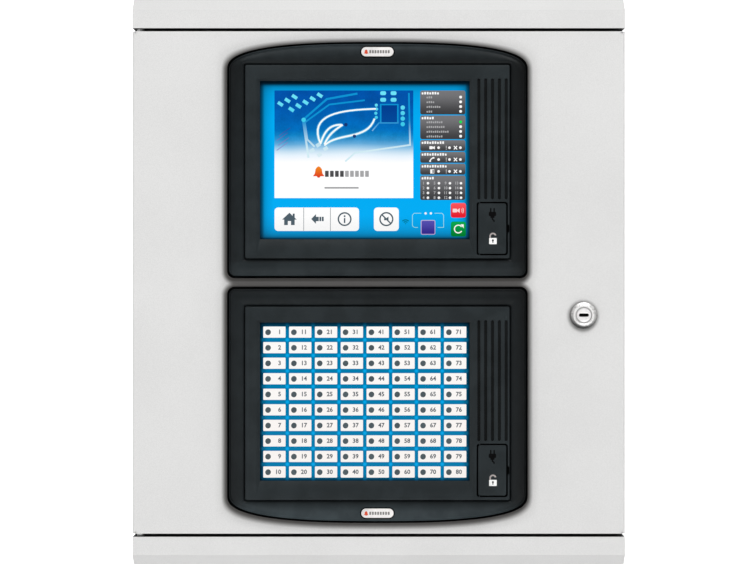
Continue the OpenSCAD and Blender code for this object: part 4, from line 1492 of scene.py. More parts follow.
    def build_window(self) -> None:
        """Builds what shows in the window; each kind of module has its own."""
        raise NotImplementedError

    def print(self, name: str, shapes: Iterable[Sequence[Flat]], layer: int,
              finish: bpy.types.Material, slot: str) -> Piece:
        """Lays flat shapes on the window, measured from its middle.

        Args:
            name: Name for the piece.
            shapes: The shapes' outlines.
            layer: How many layers above the glass they lie.
            finish: Their material.
            slot: Not used.

        Returns:
            The joined shapes.
        """
        wx, wz = self.x + self.window_at[0], self.z + self.window_at[1]
        near = self.glass - 0.06 * layer
        made = [Bench.prism("shape", [(wx + u, wz + v) for u, v in shape], near, near + 0.05)
                for shape in shapes]
        return fit(Bench.join(f"{self.name}_{name}", made), "door", finish)


@dataclass
class DisplayModule(DoorModule):
    """The upper module, with the touch display."""

    picture_x: Flat = (-73.8, 39.6)
    picture_z: Flat = (-30.9, 57.0)
    column_x: Flat = (45.3, 82.1)
    line_pitch: float = 3.88
    rows: Sequence[Flat] = ((37.4, 56.9), (17.2, 36.6), (7.55, 16.5), (-2.1, 6.9), (-11.8, -2.8), (-32.5, -12.5))

    def lit(self, name: str, lower: Colour, upper: Colour, span: Flat, glow: float = 0.92) -> bpy.types.Material:
        """Mixes a lit finish whose span is measured from the window's middle."""
        middle = self.z + self.window_at[1]
        return Lit(f"screen {name}", lower, upper, (middle + span[0], middle + span[1]), glow).make()

    def build_window(self) -> None:
        """Builds the touch display and what it shows."""
        wx, wz = self.x + self.window_at[0], self.z + self.window_at[1]
        hx, hz = self.window_half
        ground = WindowGround("screen ground", shade(0, 170, 241), (wx - hx, wx + hx), (wz - hz, wz + hz)).make()
        glass = Bench.block("display_screen", (wx - hx - 3.5, self.glass, wz - hz - 3.5),
                            (wx + hx + 3.5, self.glass + 1.8, wz + hz + 3.5), 0.3)
        fit(glass, "door", ground, ["display_touch_glass"])
        dress("display_lcd", self.palette.zinc)
        dress("display_sounder", self.palette.black)
        self.white = self.lit("white", shade(250, 250, 250), shade(255, 255, 255), (-60, 60), 0.95)
        self.slate = self.lit("slate", shade(80, 96, 106), shade(92, 108, 118), (-60, 60))
        self.build_picture()
        self.build_status()
        self.build_buttons()

    def build_picture(self) -> None:
        """Lays the start-up picture: tracks and pads over blue that fades to white."""
        x, z = self.picture_x, self.picture_z
        r = Recipe("screen picture")
        r.set(Roughness=0.25, Specular_IOR_Level=0.03, Emission_Strength=1.0)
        middle = self.z + self.window_at[1]
        height = r.fade(r.axis("Z"), middle + z[0], middle + z[1])
        bent = r.sum("MULTIPLY_ADD", r.sum("SUBTRACT", r.noise(60, 2), 0.5), 0.10, height)
        colour = r.ramp(bent, [
            (0.0, shade(255, 255, 255)), (0.25, shade(253, 253, 255)), (0.30, shade(242, 246, 252)),
            (0.35, shade(226, 239, 249)), (0.40, shade(198, 222, 239)), (0.45, shade(152, 198, 229)),
            (0.50, shade(98, 168, 214)), (0.56, shade(50, 144, 202)), (0.63, shade(14, 127, 193)),
            (0.70, shade(0, 107, 184)), (0.82, shade(0, 96, 176)), (1.0, shade(0, 79, 164))])
        mottle = r.sum("MULTIPLY_ADD", r.noise(9, 3), 0.5, r.sum("MULTIPLY", r.noise(1.1, 1), 0.25))
        blue = r.fade(bent, 0.45, 0.62)
        mottle = r.sum("MULTIPLY_ADD", r.sum("SUBTRACT", mottle, 0.375), r.sum("MULTIPLY", blue, 1.1), 1.0)
        colour = r.tint(colour, mottle)
        r.wire(colour, "Emission Color")
        r.wire(r.tint(colour, 0.04), "Base Color")
        self.print("picture", [Outline.rounded(x, z, 0.4)], 1, r.material, "touch_glass")
        tracks = [
            Outline.line([(-46, 2), (-50.5, 33), (-31, 50), (-6, 54.5)], 1.7),
            Outline.line([(-41, 11), (-47, 17), (-49, 31), (-29, 45.5), (0, 49)], 1.4),
            Outline.line([(-16, -1), (-8, 6), (37, 12.5), (36, 55)], 1.4),
            Outline.line([(6, 24), (12, 31)], 1.0),
            Outline.line([(13, 30), (13, 46)], 1.2), Outline.line([(27, 30), (27, 46)], 1.2),
            Outline.line([(13, 30.5), (27, 30.5)], 1.0), Outline.line([(13, 45.5), (27, 45.5)], 1.0),
            Outline.line([(15.5, 45), (20, 41.5), (24.5, 45)], 0.8),
        ]
        cyan = self.lit("tracks", shade(214, 240, 248), shade(12, 150, 214), (6, 34))
        self.print("picture_tracks", tracks, 2, cyan, "touch_glass")
        chip = self.lit("chip", shade(0, 74, 156), shade(0, 62, 146), (30, 46))
        self.print("picture_chip", [Outline.rounded((13.6, 26.4), (31.1, 44.9), 0.3)], 3, chip, "touch_glass")
        hatch = [Outline.line([(u, v), (u + 9, v + 6.5)], 0.7) for u, v in
                 ((-72, 8), (-71, 12), (-72, 16), (-70, 20))]
        plum = self.lit("hatching", shade(150, 160, 214), shade(40, 84, 168), (6, 26))
        self.print("picture_hatching", hatch, 2, plum, "touch_glass")
        pads = []
        for row, start in ((0, (-69, 46)), (1, (-60, 41.5))):
            for step in range(6 - row):
                u, v = start[0] + step * 5.8, start[1] + step * 2.9
                if v < 54.5:
                    pads.append(Outline.line([(u - 2.0, v + 1.3), (u + 2.0, v - 1.3)], 2.7))
        pads += [Outline.ring(u, v, 1.8, 16) for u, v in
                 ((-50, 33), (31, 43), (31, 38.5), (31, 34), (31, 29.5))]
        pads += [Outline.ring(u, v, 1.3, 12) for u, v in ((9.4, 45), (9.6, 41.8), (9.0, 38.4), (9.4, 35))]
        pads += [Outline.rounded((u - 2.4, u + 2.4), (v - 1.6, v + 1.6), 1.3) for u, v in
                 ((15, 54.8), (23.5, 54.8), (15, 49.4), (23.5, 49.4))]
        bright = self.lit("pads", shade(60, 206, 238), shade(110, 232, 252), (28, 54))
        self.print("picture_pads", pads, 3, bright, "touch_glass")
        wires, glows = [], []
        for a, b, c, d in (((-36, 13), (-47, 38), (-20, 41), (9, 42)), ((-33, 12), (-22, 23), (2, 16), (8, 34)),
                           ((-36, 14), (-32, 27), (-26, 29), (-19, 29)), ((-33, 13), (-29, 22), (-24, 25), (-18, 29))):
            curve = []
            for step in range(17):
                t = step / 16
                weights = ((1 - t) ** 3, 3 * t * (1 - t) ** 2, 3 * t * t * (1 - t), t ** 3)
                curve.append(tuple(sum(w * p[k] for w, p in zip(weights, (a, b, c, d))) for k in range(2)))
            wires.append(Outline.line(curve, 1.25))
            glows.append(Outline.line(curve, 2.5))
        halo = self.lit("wire glow", shade(120, 205, 236), shade(26, 150, 212), (12, 44))
        self.print("picture_wire_glow", glows, 4, halo, "touch_glass")
        self.print("picture_wires", wires, 5, self.white, "touch_glass")
        beads = [Outline.ring(-15.5, 29, 1.5, 12), Outline.ring(-8.5, 19.6, 1.4, 12)]
        bead = self.lit("beads", shade(24, 60, 120), shade(18, 50, 112), (12, 44))
        self.print("picture_beads", beads, 6, bead, "touch_glass")
        lands = [Outline.line([(u - 1.6, v - 1.0), (u + 1.6, v + 1.0)], 3.0) for u, v in
                 ((-38, 12.5), (-32, 9.5), (-43, 8), (-37, 4.5))]
        pale = self.lit("lands", shade(222, 242, 250), shade(190, 228, 244), (2, 16))
        self.print("picture_lands", lands, 6, pale, "touch_glass")
        flame = self.lit("orange", shade(226, 60, 34), shade(246, 138, 30), (-15, -4))
        self.print("picture_bell", [self.bell(-37.7, -9.6, 4.7)], 3, flame, "touch_glass")
        dark = self.lit("dark grey", shade(70, 70, 72), shade(84, 84, 86), (-15, -8))
        pale = self.lit("pale grey", shade(160, 160, 162), shade(170, 170, 172), (-25, -8))
        self.print("picture_steps", [Outline.rounded((-32.5 + 4.1 * i, -29.5 + 4.1 * i), (-13.6, -8.6), 0.4)
                                     for i in range(4)], 3, dark, "touch_glass")
        later = [Outline.rounded((-32.5 + 4.1 * i, -29.5 + 4.1 * i), (-13.6, -8.6), 0.4) for i in range(4, 9)]
        later.append(Outline.rounded((-33, -5), (-23.2, -21.9), 0.4))
        self.print("picture_later_steps", later, 3, pale, "touch_glass")

    def build_status(self) -> None:
        """Lays the column of status panels, with plain bars where words would be."""
        left, right = self.column_x
        for index, (low, high) in enumerate(self.rows):
            grey = self.lit(f"status {index + 1}", shade(64, 64, 66), shade(120, 120, 123), (low, high))
            self.print(f"status_panel_{index + 1}", [Outline.rounded((left, right), (low, high), 1.6)],
                       1, grey, "touch_glass")
        heads, marks, lamps = [], [], []
        lengths = ((15, 5.5, 7.5, 13, 6), (10.5, 14, 16, 18.5, 14.5), (20,), (22,), (23,), (12.5,))
        for (low, high), words in zip(self.rows, lengths):
            for line, length in enumerate(words):
                if line == 0:
                    self.greek(heads, left + 1.2, high - 3.1, length, 2.0)
                    continue
                middle = high - 5.5 - (line - 1) * self.line_pitch
                self.greek(marks, left + 5.2, middle - 0.8, length, 1.6)
                lamps.append(Outline.rounded((right - 4.9, right - 2.7), (middle - 0.9, middle + 1.3), 0.9))
        green = lamps.pop(4)
        for index, (low, high) in enumerate(self.rows[2:5]):
            v = low + 2.7
            lamps += [Outline.ring(u, v, 1.1, 12) for u in (60.3, 69.2, right - 4.0)]
            heads += self.device(index, 55.0, v)
            heads += [Outline.line([(72.8, v - 1.4), (75.4, v + 1.4)], 0.8),
                      Outline.line([(72.8, v + 1.4), (75.4, v - 1.4)], 0.8)]
            marks += [Outline.rounded((66.2, 67.0), (v - 0.4, v + 1.6), 0.2),
                      Outline.rounded((66.2, 67.0), (v - 1.6, v - 0.8), 0.2)]
        figures = []
        wx, wz = self.x + self.window_at[0], self.z + self.window_at[1]
        for column in range(4):
            for row in range(4):
                u, v = left + 6.3 + column * 9.0, self.rows[5][1] - 6.3 - row * 3.95
                lamps.append(Outline.ring(u, v, 1.05, 12))
                figures.append(Bench.lettered("figure", str(column * 4 + row + 1), 2.2, wx + u - 3.6,
                                              self.glass - 0.14, wz + v, 0.1))
        pale = self.lit("status words", shade(176, 176, 178), shade(176, 176, 178), (-40, 60))
        fit(Bench.join("display_status_figures", figures), "door", pale)
        self.print("status_heads", heads, 2, self.white, "touch_glass")
        self.print("status_marks", marks, 2, pale, "touch_glass")
        self.print("status_lamps", lamps, 3, self.white, "touch_glass")
        lamp = self.lit("green lamp", shade(0, 214, 70), shade(30, 240, 90), (20, 40))
        self.print("status_green_lamp", [green], 3, lamp, "touch_glass")

    @staticmethod
    def device(kind: int, u: float, v: float) -> list[list[Flat]]:
        """Draws one of three small signs: a sounder, a handset or a door.

        Args:
            kind: 0, 1 or 2, in that order.
            u: The sign's middle.
            v: Its middle's height.

        Returns:
            The sign's outlines.
        """
        if kind == 0:
            return [Outline.rounded((u - 2.2, u + 0.4), (v - 1.2, v + 1.2), 0.3),
                    [(u + 0.3, v - 0.5), (u + 2.3, v - 1.3), (u + 2.3, v + 1.3), (u + 0.3, v + 0.5)]]
        if kind == 1:
            return [Outline.arc_band(u + 1.2, v - 1.4, 2.2, 3.1, 95, 175, 8),
                    Outline.rounded((u + 0.3, u + 1.9), (v + 0.7, v + 2.0), 0.4),
                    Outline.rounded((u - 2.3, u - 1.0), (v - 2.0, v - 0.6), 0.4)]
        return [Outline.rounded((u - 1.5, u + 0.3), (v - 1.7, v + 1.7), 0.1),
                Outline.line([(u + 0.3, v + 1.5), (u + 1.5, v + 1.5), (u + 1.5, v - 1.5), (u + 0.3, v - 1.5)], 0.4)]

    @staticmethod
    def greek(marks: list[list[Flat]], start: float, low: float, length: float, height: float) -> None:
        """Adds a row of small bars that stands for a word.

        Args:
            marks: List that the bars are added to.
            start: Where the row starts.
            low: Its foot.
            length: Its length.
            height: Its height.
        """
        pitch = height * 1.05
        for step in range(max(1, int(length / pitch))):
            u = start + step * pitch
            tall = height * (1.0 if step % 3 else 0.8)
            marks.append(Outline.rounded((u, u + pitch * 0.66), (low, low + tall), 0.12, 2))

    def build_buttons(self) -> None:
        """Lays the buttons along the bottom of the screen."""
        cap = self.lit("button", shade(246, 246, 246), shade(255, 255, 255), (-58, -42), 0.96)
        self.print("buttons", [Outline.rounded((-73.8, -4.7), (-57.8, -38.6), 3.0),
                               Outline.rounded((7.4, 27.8), (-57.8, -38.6), 3.0)], 1, cap, "touch_glass")
        lines = [Outline.rounded((u - 0.2, u + 0.2), (-57.6, -38.8), 0.1) for u in (-49.9, -28.1)]
        home = [(-61.6, -42.9), (-67.6, -48.5), (-65.9, -48.5), (-65.9, -53.0), (-62.9, -53.0),
                (-62.9, -49.7), (-60.3, -49.7), (-60.3, -53.0), (-57.3, -53.0), (-57.3, -48.5), (-55.6, -48.5)]
        chimney = Outline.rounded((-58.9, -57.3), (-47.4, -43.6), 0.1)
        back = [(-43.8, -48.0), (-39.9, -44.0), (-39.9, -46.2), (-37.6, -46.2), (-37.6, -49.8),
                (-39.9, -49.8), (-39.9, -52.0)]
        dashes = [Outline.rounded((u, u + 1.5), (-49.8, -46.2), 0.1) for u in (-37.1, -35.1)]
        info = [Outline.arc_band(-16.5, -48.1, 4.5, 5.7, 0, 359.5, 40),
                Outline.ring(-16.5, -45.7, 0.8, 14), Outline.rounded((-17.1, -15.9), (-51.3, -47.2), 0.3)]
        mute = [Outline.arc_band(17.6, -48.1, 4.6, 5.8, 0, 359.5, 40),
                Outline.line([(14.0, -44.5), (21.2, -51.7)], 1.1),
                *[[(17.6 + (u - 17.6) * 0.6, -48.1 + (v + 48.1) * 0.6) for u, v in shape] for shape in (
                    Outline.rounded((14.6, 17.2), (-49.8, -46.4), 0.3),
                    [(17.0, -47.2), (20.6, -44.6), (20.6, -51.6), (17.0, -49.0)])]]
        self.print("button_signs", [*lines, home, chimney, back, *dashes, *info, *mute], 2, self.slate, "touch_glass")
        red = self.lit("red button", shade(232, 24, 44), shade(255, 84, 92), (-47, -35))
        self.print("red_button", [Outline.rounded((70.3, 82.6), (-46.95, -35.0), 1.8)], 1, red, "touch_glass")
        green = self.lit("green button", shade(0, 124, 48), shade(10, 166, 80), (-62.3, -50.1))
        self.print("green_button", [Outline.rounded((70.3, 82.6), (-62.3, -50.1), 1.8)], 1, green, "touch_glass")
        violet = self.lit("violet key", shade(52, 42, 140), shade(84, 78, 176), (-60.2, -49.5))
        pink = self.lit("key border", shade(186, 160, 208), shade(202, 176, 216), (-61, -49))
        self.print("violet_border", [Outline.rounded((45.8, 57.6), (-60.8, -48.9), 1.2)], 1, pink, "touch_glass")
        self.print("violet_key", [Outline.rounded((46.4, 57.0), (-60.2, -49.5), 0.8)], 2, violet, "touch_glass")
        horn = [Outline.rounded((71.8, 75.4), (-42.6, -39.6), 0.4),
                [(75.0, -41.2), (77.6, -43.0), (77.6, -39.2), (75.0, -41.0)],
                Outline.arc_band(77.2, -41.1, 2.0, 2.5, -38, 38, 8), Outline.arc_band(77.2, -41.1, 3.2, 3.7, -38, 38, 8)]
        blush = self.lit("horn", shade(255, 214, 214), shade(255, 222, 222), (-47, -35))
        self.print("horn_sign", horn, 3, blush, "touch_glass")
        lines = [Outline.line([(38.9, -45), (38.9, -53.6), (40.5, -54.9), (43.4, -54.9)], 0.42),
                 Outline.line([(38.9, -45), (40.4, -43.3), (46.2, -43.3)], 0.42),
                 Outline.line([(57.0, -43.3), (63.0, -43.3), (64.4, -44.8), (64.4, -54.9), (59.6, -54.9)], 0.42)]
        mint = self.lit("bracket", shade(170, 226, 226), shade(176, 232, 232), (-56, -42))
        self.print("bracket_lines", lines, 3, mint, "touch_glass")
        white = [Outline.arc_band(76.4, -56.2, 2.7, 3.6, 35, 330, 24),
                 [(78.2, -52.4), (80.8, -52.4), (80.8, -55.6)],
                 Outline.ring(49.7, -43.4, 0.95, 14), Outline.ring(54.0, -43.4, 0.95, 14)]
        self.print("button_lines", white, 3, self.white, "touch_glass")
        dim = self.lit("dim sign", shade(0, 118, 150), shade(0, 128, 160), (-60, -40))
        self.print("dim_sign", [Outline.arc_band(33.3, -52.4, 0, 1.0, 50, 130, 6),
                                Outline.arc_band(33.3, -52.4, 1.7, 2.6, 45, 135, 8),
                                Outline.arc_band(33.3, -52.4, 3.2, 4.1, 45, 135, 10)], 2, dim, "touch_glass")


@dataclass
class ZoneModule(DoorModule):
    """The lower module, with a numbered lamp for each zone."""

    columns: int = 8
    lines: int = 10
    pitch: Flat = (21.1, 12.7)
    label: Flat = (18.2, 9.1)
    drop: float = 0.4
    lamp_from_left: float = 4.0
    lamp_radius: float = 2.25
    number_from_left: float = 14.6
    number_height: float = 3.5

    def build_window(self) -> None:
        """Builds the printed overlay, the labels, their lamps and their numbers."""
        wx, wz = self.x + self.window_at[0], self.z + self.window_at[1]
        hx, hz = self.window_half
        first_x = wx - (self.columns - 1) / 2 * self.pitch[0]
        first_z = wz - self.drop + (self.lines - 1) / 2 * self.pitch[1]
        # Painted light and shade: the printed overlay glows though nothing lights it, darkens towards the window's
        # frame, and darkens along the labels' edges except where their gaps cross.
        ground = WindowGround(
            "overlay ground", shade(0, 120, 168), (wx - hx, wx + hx), (wz - hz, wz + hz),
            top=((0, 0.05), (2, 0.15), (4, 0.5), (6, 0.9), (8, 1)), low=((0, 0.1), (1.5, 0.3), (3, 0.7), (5, 1)),
            sides=((0, 0.05), (1.5, 0.15), (3, 0.55), (5, 0.9), (7, 1)),
            lattice=((first_x, self.pitch[0]), (first_z, self.pitch[1])), bright=shade(0, 166, 234)).make()
        film = Bench.block("zone_film", (wx - hx - 3.5, self.glass, wz - hz - 3.5),
                           (wx + hx + 3.5, self.glass + 1.2, wz + hz + 3.5), 0.3)
        fit(film, "door", ground, ["zone_overlay"])
        wide, high = self.label[0] / 2, self.label[1] / 2
        card = Bench.prism("zone_cards", Outline.rounded(
            (first_x - wide, first_x + wide), (first_z - high, first_z + high), 0.5, 3),
            self.glass - 0.45, self.glass + 0.02)
        Bench.soften(card, 0.15, 1, 50)
        Bench.array(card, self.columns, x=self.pitch[0])
        Bench.array(card, self.lines, z=-self.pitch[1])
        # Painted light: the label cards glow though nothing lights them, a little lighter towards the top.
        white = Lit("label card", shade(252, 247, 244), shade(255, 253, 251), (wz - hz, wz + hz), 0.93).make()
        fit(Bench.join("zone_cards", [card]), "door", white, ["zone_labels"])
        face = self.glass - 0.45
        lamp = Bench.turned("zone_lamps", first_x - wide + self.lamp_from_left, first_z,
                            [(self.lamp_radius, face + 0.3), (self.lamp_radius, face - 0.10),
                             (self.lamp_radius * 0.85, face - 0.24), (self.lamp_radius * 0.5, face - 0.33),
                             (0.3, face - 0.36)], 20)
        Bench.array(lamp, self.columns, x=self.pitch[0])
        Bench.array(lamp, self.lines, z=-self.pitch[1])
        lens = Moulding("lamp lens", shade(66, 80, 86), 0.35, 0.4, 0.004, 0.4).make()
        fit(Bench.join("zone_lamps", [lamp]), "door", lens)
        dress("zone_leds", lens)
        figures = [
            Bench.lettered("figure", str(column * self.lines + line + 1), self.number_height,
                           first_x - wide + self.number_from_left + column * self.pitch[0],
                           face - 0.03, first_z - line * self.pitch[1], 0.14, "RIGHT")
            for column in range(self.columns) for line in range(self.lines)
        ]
        # Painted light: the printed figures glow though nothing lights them.
        ink = Lit("figure ink", shade(96, 103, 110), shade(98, 105, 112), (wz - hz, wz + hz), 0.8).make()
        fit(Bench.join("zone_numbers", figures), "door", ink)


@dataclass
class Electronics:
    """Everything fixed inside the cabinet; places on the main board start at its lower left corner."""

    palette: Palette
    capacitors: Sequence[tuple[float, float, float, float]] = (
        (223, 32, 9, 26), (201, 30, 8, 22), (181, 28, 6.3, 16), (231, 66, 6.3, 16), (211, 64, 5, 12))
    chips: Sequence[tuple[float, float, float, float, float, str]] = (
        (155, 102, 30, 30, 2.4, "both"), (197, 112, 18, 24, 2.0, "sides"), (117, 42, 24, 16, 2.0, "ends"),
        (80, 38, 12, 9, 1.8, "ends"), (57, 38, 12, 9, 1.8, "ends"), (34, 38, 12, 9, 1.8, "ends"),
        (229, 106, 14, 14, 2.2, "both"))
    resistors: Sequence[tuple[float, float, int]] = (
        (128, 134, 14), (131, 128, 9), (122, 74, 13), (122, 68, 13), (28, 56, 15), (28, 62, 15), (145, 52, 8))
    chip_pitch: float = 1.27

    def build(self) -> None:
        """Dresses the plates, boards, supply and batteries and adds their small details."""
        self.dress_nodes()
        low, _ = node_box("main_board")
        self.x, self.front, self.z = low.x, low.y, low.z
        self.add_terminals()
        self.add_headers()
        self.add_capacitor_tops()
        self.add_chip_legs()
        self.add_small_parts()
        self.add_supply()
        self.add_mains()
        self.add_batteries()
        self.add_earth_nuts()

    def dress_nodes(self) -> None:
        """Gives every node inside the cabinet its finish."""
        p = self.palette
        self.green = Moulding("terminal green", (0.03, 0.26, 0.10), 0.45, 0.8, gloss=0.5).make()
        case = Moulding("battery case", (0.030, 0.032, 0.036), 0.45, 1.2, 0.02, 0.4).make()
        finishes = {
            p.zinc: ("chassis_plate", "battery_terminals", "battery_strap"),
            p.zinc_upright: ("power_supply_case",), p.brass: ("fixing_pillars", "earth_studs"),
            p.black: ("board_chips", "ribbon_headers", "power_supply_terminals"),
            p.ivory: ("mains_terminal_block",), p.laminate: ("main_board",),
            self.green: ("field_terminals",), case: ("battery_left", "battery_right"),
            Laminate("card laminate", (0.010, 0.10, 0.06)).make(): ("loop_card",),
            Moulding("relay orange", (0.72, 0.17, 0.02), 0.4, 0.8, gloss=0.5).make(): ("board_relays",),
            Moulding("capacitor sleeve", (0.008, 0.010, 0.035), 0.25, 1.5, gloss=0.6).make(): ("board_capacitors",),
        }
        for finish, nodes in finishes.items():
            for node in nodes:
                dress(node, finish)

    @staticmethod
    def screw(x: float, z: float, front: float, back: float, radius: float) -> Piece:
        """Turns a screw with a slot across its head, facing forwards.

        Args:
            x: Its axis's place.
            z: Its axis's height.
            front: Depth of its face.
            back: Depth of its other end.
            radius: Its radius.

        Returns:
            The screw.
        """
        head = Bench.turned("screw", x, z, [(radius, back), (radius, front + 0.35), (radius - 0.35, front)], 24)
        wide = radius * 0.17
        return Bench.cut(head, [Bench.block("slot", (x - radius - 1, front - 1, z - wide),
                                            (x + radius + 1, front + 0.7, z + wide))])

    def add_terminals(self) -> None:
        """Puts screws in the field terminals and covers on the loop card's."""
        low, high = node_box("field_terminals")
        first = (low.x + high.x) / 2 - 2 * 46 - 3.5 * 5
        screws = self.screw(first, (low.z + high.z) / 2 - 1, low.y + 1.6, low.y + 6.1, 1.35)
        Bench.array(screws, 8, x=5)
        Bench.array(screws, 5, x=46)
        fit(Bench.join("terminal_screws", [screws]), "cabinet", self.palette.zinc)
        low, _ = node_box("loop_card")
        cover = Bench.block("loop_covers", (low.x + 13.8, low.y - 0.3, low.z + 47.8),
                            (low.x + 26.2, low.y + 8.7, low.z + 64.2), 0.5)
        fit(Bench.array(cover, 4, x=19), "cabinet", self.green)
        well = Bench.turned("loop_wells", low.x + 17, low.z + 58, [(2.1, low.y), (2.1, low.y - 0.35)], 24)
        head = self.screw(low.x + 17, low.z + 58, low.y - 0.6, low.y, 1.6)
        for piece, finish, slot in ((well, self.palette.ink_black, "black_plastic"),
                                    (head, self.palette.zinc, "plated_steel")):
            Bench.array(piece, 2, x=6)
            Bench.array(piece, 4, x=19)
            name = "loop_wells" if piece is well else "loop_screws"
            fit(Bench.join(name, [piece]), "cabinet", finish)

    def add_headers(self) -> None:
        """Stands the pins in the three ribbon headers."""
        low, high = node_box("ribbon_headers")
        x, z = low.x + 22 - 8 * 2.54, (low.z + high.z) / 2 - 1.27
        pin = Bench.block("header_pins", (x - 0.32, low.y + 1.6, z - 0.32), (x + 0.32, low.y + 7.1, z + 0.32), 0.1)
        Bench.array(pin, 17, x=2.54)
        Bench.array(pin, 2, z=2.54)
        fit(Bench.array(pin, 3, x=56), "cabinet", self.palette.brass)

    def add_capacitor_tops(self) -> None:
        """Caps each capacitor with a scored metal disc."""
        discs = []
        for u, v, radius, height in self.capacitors:
            x, z, top = self.x + u, self.z + v, self.front - height
            disc = Bench.turned("disc", x, z, [(radius * 0.86, top + 0.2), (radius * 0.86, top - 0.12),
                                               (radius * 0.8, top - 0.2)], 48)
            reach = radius * 0.6
            scores = [Bench.block("score", (x - a, top - 1, z - b), (x + a, top - 0.08, z + b))
                      for a, b in ((reach, 0.25), (0.25, reach))]
            discs.append(Bench.cut(disc, scores))
        fit(Bench.join("capacitor_tops", discs), "cabinet", self.palette.zinc)

    def add_chip_legs(self) -> None:
        """Sets the chips' legs round them and a mark by each first leg."""
        legs, marks = [], []
        for u, v, wide, high, thick, where in self.chips:
            x, z = self.x + u, self.z + v
            if where != "sides":
                count = int((wide - 1.5) / self.chip_pitch)
                for way in (-1, 1):
                    end = z + way * (high / 2 + 0.5)
                    start = x - (count - 1) / 2 * self.chip_pitch
                    leg = Bench.block("leg", (start - 0.25, self.front - 0.9, end - 0.75),
                                      (start + 0.25, self.front + 0.02, end + 0.75), 0.12)
                    legs.append(Bench.array(leg, count, x=self.chip_pitch))
            if where != "ends":
                count = int((high - 1.5) / self.chip_pitch)
                for way in (-1, 1):
                    end = x + way * (wide / 2 + 0.5)
                    start = z - (count - 1) / 2 * self.chip_pitch
                    leg = Bench.block("leg", (end - 0.75, self.front - 0.9, start - 0.25),
                                      (end + 0.75, self.front + 0.02, start + 0.25), 0.12)
                    legs.append(Bench.array(leg, count, z=self.chip_pitch))
            marks.append(Bench.turned("mark", x - wide / 2 + 2, z - high / 2 + 2, [
                (0.7, self.front - thick + 0.05), (0.7, self.front - thick - 0.03)], 16))
        fit(Bench.join("chip_legs", legs), "cabinet", self.palette.zinc)
        fit(Bench.join("chip_marks", marks), "cabinet", self.palette.ink_grey)

    def add_small_parts(self) -> None:
        """Fills the board with resistors, surge parts, indicator lamps and a crystal."""
        bodies, ends = [], []
        for u, v, count in self.resistors:
            x, z = self.x + u, self.z + v
            body = Bench.block("body", (x - 0.8, self.front - 0.7, z - 1.1), (x + 0.8, self.front, z + 1.1), 0.1)
            bodies.append(Bench.array(body, count, x=5.4))
            end = Bench.block("end", (x - 0.85, self.front - 0.75, z + 1.0),
                              (x + 0.85, self.front + 0.02, z + 1.7), 0.15)
            Bench.array(end, 2, z=-2.7)
            ends.append(Bench.array(end, count, x=5.4))
        fit(Bench.join("small_parts", bodies), "cabinet", self.palette.black)
        fit(Bench.join("small_part_ends", ends), "cabinet", self.palette.zinc)
        x, z = self.x + 14, self.z + 188
        surge = Bench.block("surge_parts", (x - 1.3, self.front - 2.2, z - 2.4), (x + 1.3, self.front, z + 2.4), 0.5)
        tan = Moulding("ceramic tan", (0.42, 0.26, 0.11), 0.4, 0.9, gloss=0.5).make()
        fit(Bench.array(surge, 39, x=5.75), "cabinet", tan)
        lamp = Bench.block("board_lamps", (self.x + 131, self.front - 1.1, self.z + 169),
                           (self.x + 133.4, self.front, self.z + 170.4), 0.3)
        glow = Lit("board lamp", (0.02, 0.55, 0.10), (0.05, 0.75, 0.16), (-10, 120), 0.6).make()
        fit(Bench.array(lamp, 4, x=24), "cabinet", glow)
        x, z = self.x + 179, self.z + 104
        can = Bench.prism("crystal", Outline.rounded((x - 2.3, x + 2.3), (z - 5.6, z + 5.6), 2.2),
                          self.front - 3.6, self.front)
        fit(Bench.soften(can, 0.4, 3), "cabinet", self.palette.zinc)

    def add_supply(self) -> None:
        """Adds the supply's cover screws, blank plate, lamp and terminal screws."""
        low, high = node_box("power_supply_case")
        plate = Bench.prism("supply_plate", Outline.rounded(
            (low.x + 16, low.x + 78), (high.z - 44, high.z - 8), 1.5), low.y - 0.25, low.y + 0.02)
        pale = Moulding("blank plate", (0.62, 0.63, 0.62), 0.4, 0.6, gloss=0.4).make()
        fit(Bench.soften(plate, 0.08), "cabinet", pale)
        screws = [self.screw(x, z, low.y - 1.3, low.y + 0.02, 2.4)
                  for x in (low.x + 6, high.x - 6) for z in (low.z + 30, high.z - 6)]
        fit(Bench.join("supply_screws", screws), "cabinet", self.palette.zinc)
        lamp = Bench.turned("supply_lamp", high.x - 14, low.z + 40, [
            (2.0, low.y + 0.02), (2.0, low.y - 0.6), (1.5, low.y - 1.1), (0.6, low.y - 1.3)], 32)
        glow = Lit("supply lamp", (0.02, 0.55, 0.10), (0.05, 0.75, 0.16), (-10, 120), 0.6).make()
        fit(lamp, "cabinet", glow)
        low, _ = node_box("power_supply_terminals")
        screw = self.screw(low.x + 4.5, low.z + 5.5, low.y + 4.5, low.y + 8.0, 2.3)
        Bench.array(screw, 9, x=8.5)
        fit(Bench.join("supply_terminal_screws", [screw]), "cabinet", self.palette.zinc)

    def add_mains(self) -> None:
        """Adds the mains block's screws and the fuse's cap."""
        low, high = node_box("mains_terminal_block")
        screw = self.screw(low.x + 8, low.z + 20, low.y + 18.5, low.y + 22, 2.6)
        Bench.array(screw, 4, x=12)
        fit(Bench.join("mains_screws", [screw]), "cabinet", self.palette.brass)
        cap = self.screw(high.x - 8, low.z + 15, low.y - 1.4, low.y + 0.5, 5.0)
        fit(Bench.join("fuse_cap", [cap]), "cabinet", self.palette.black)

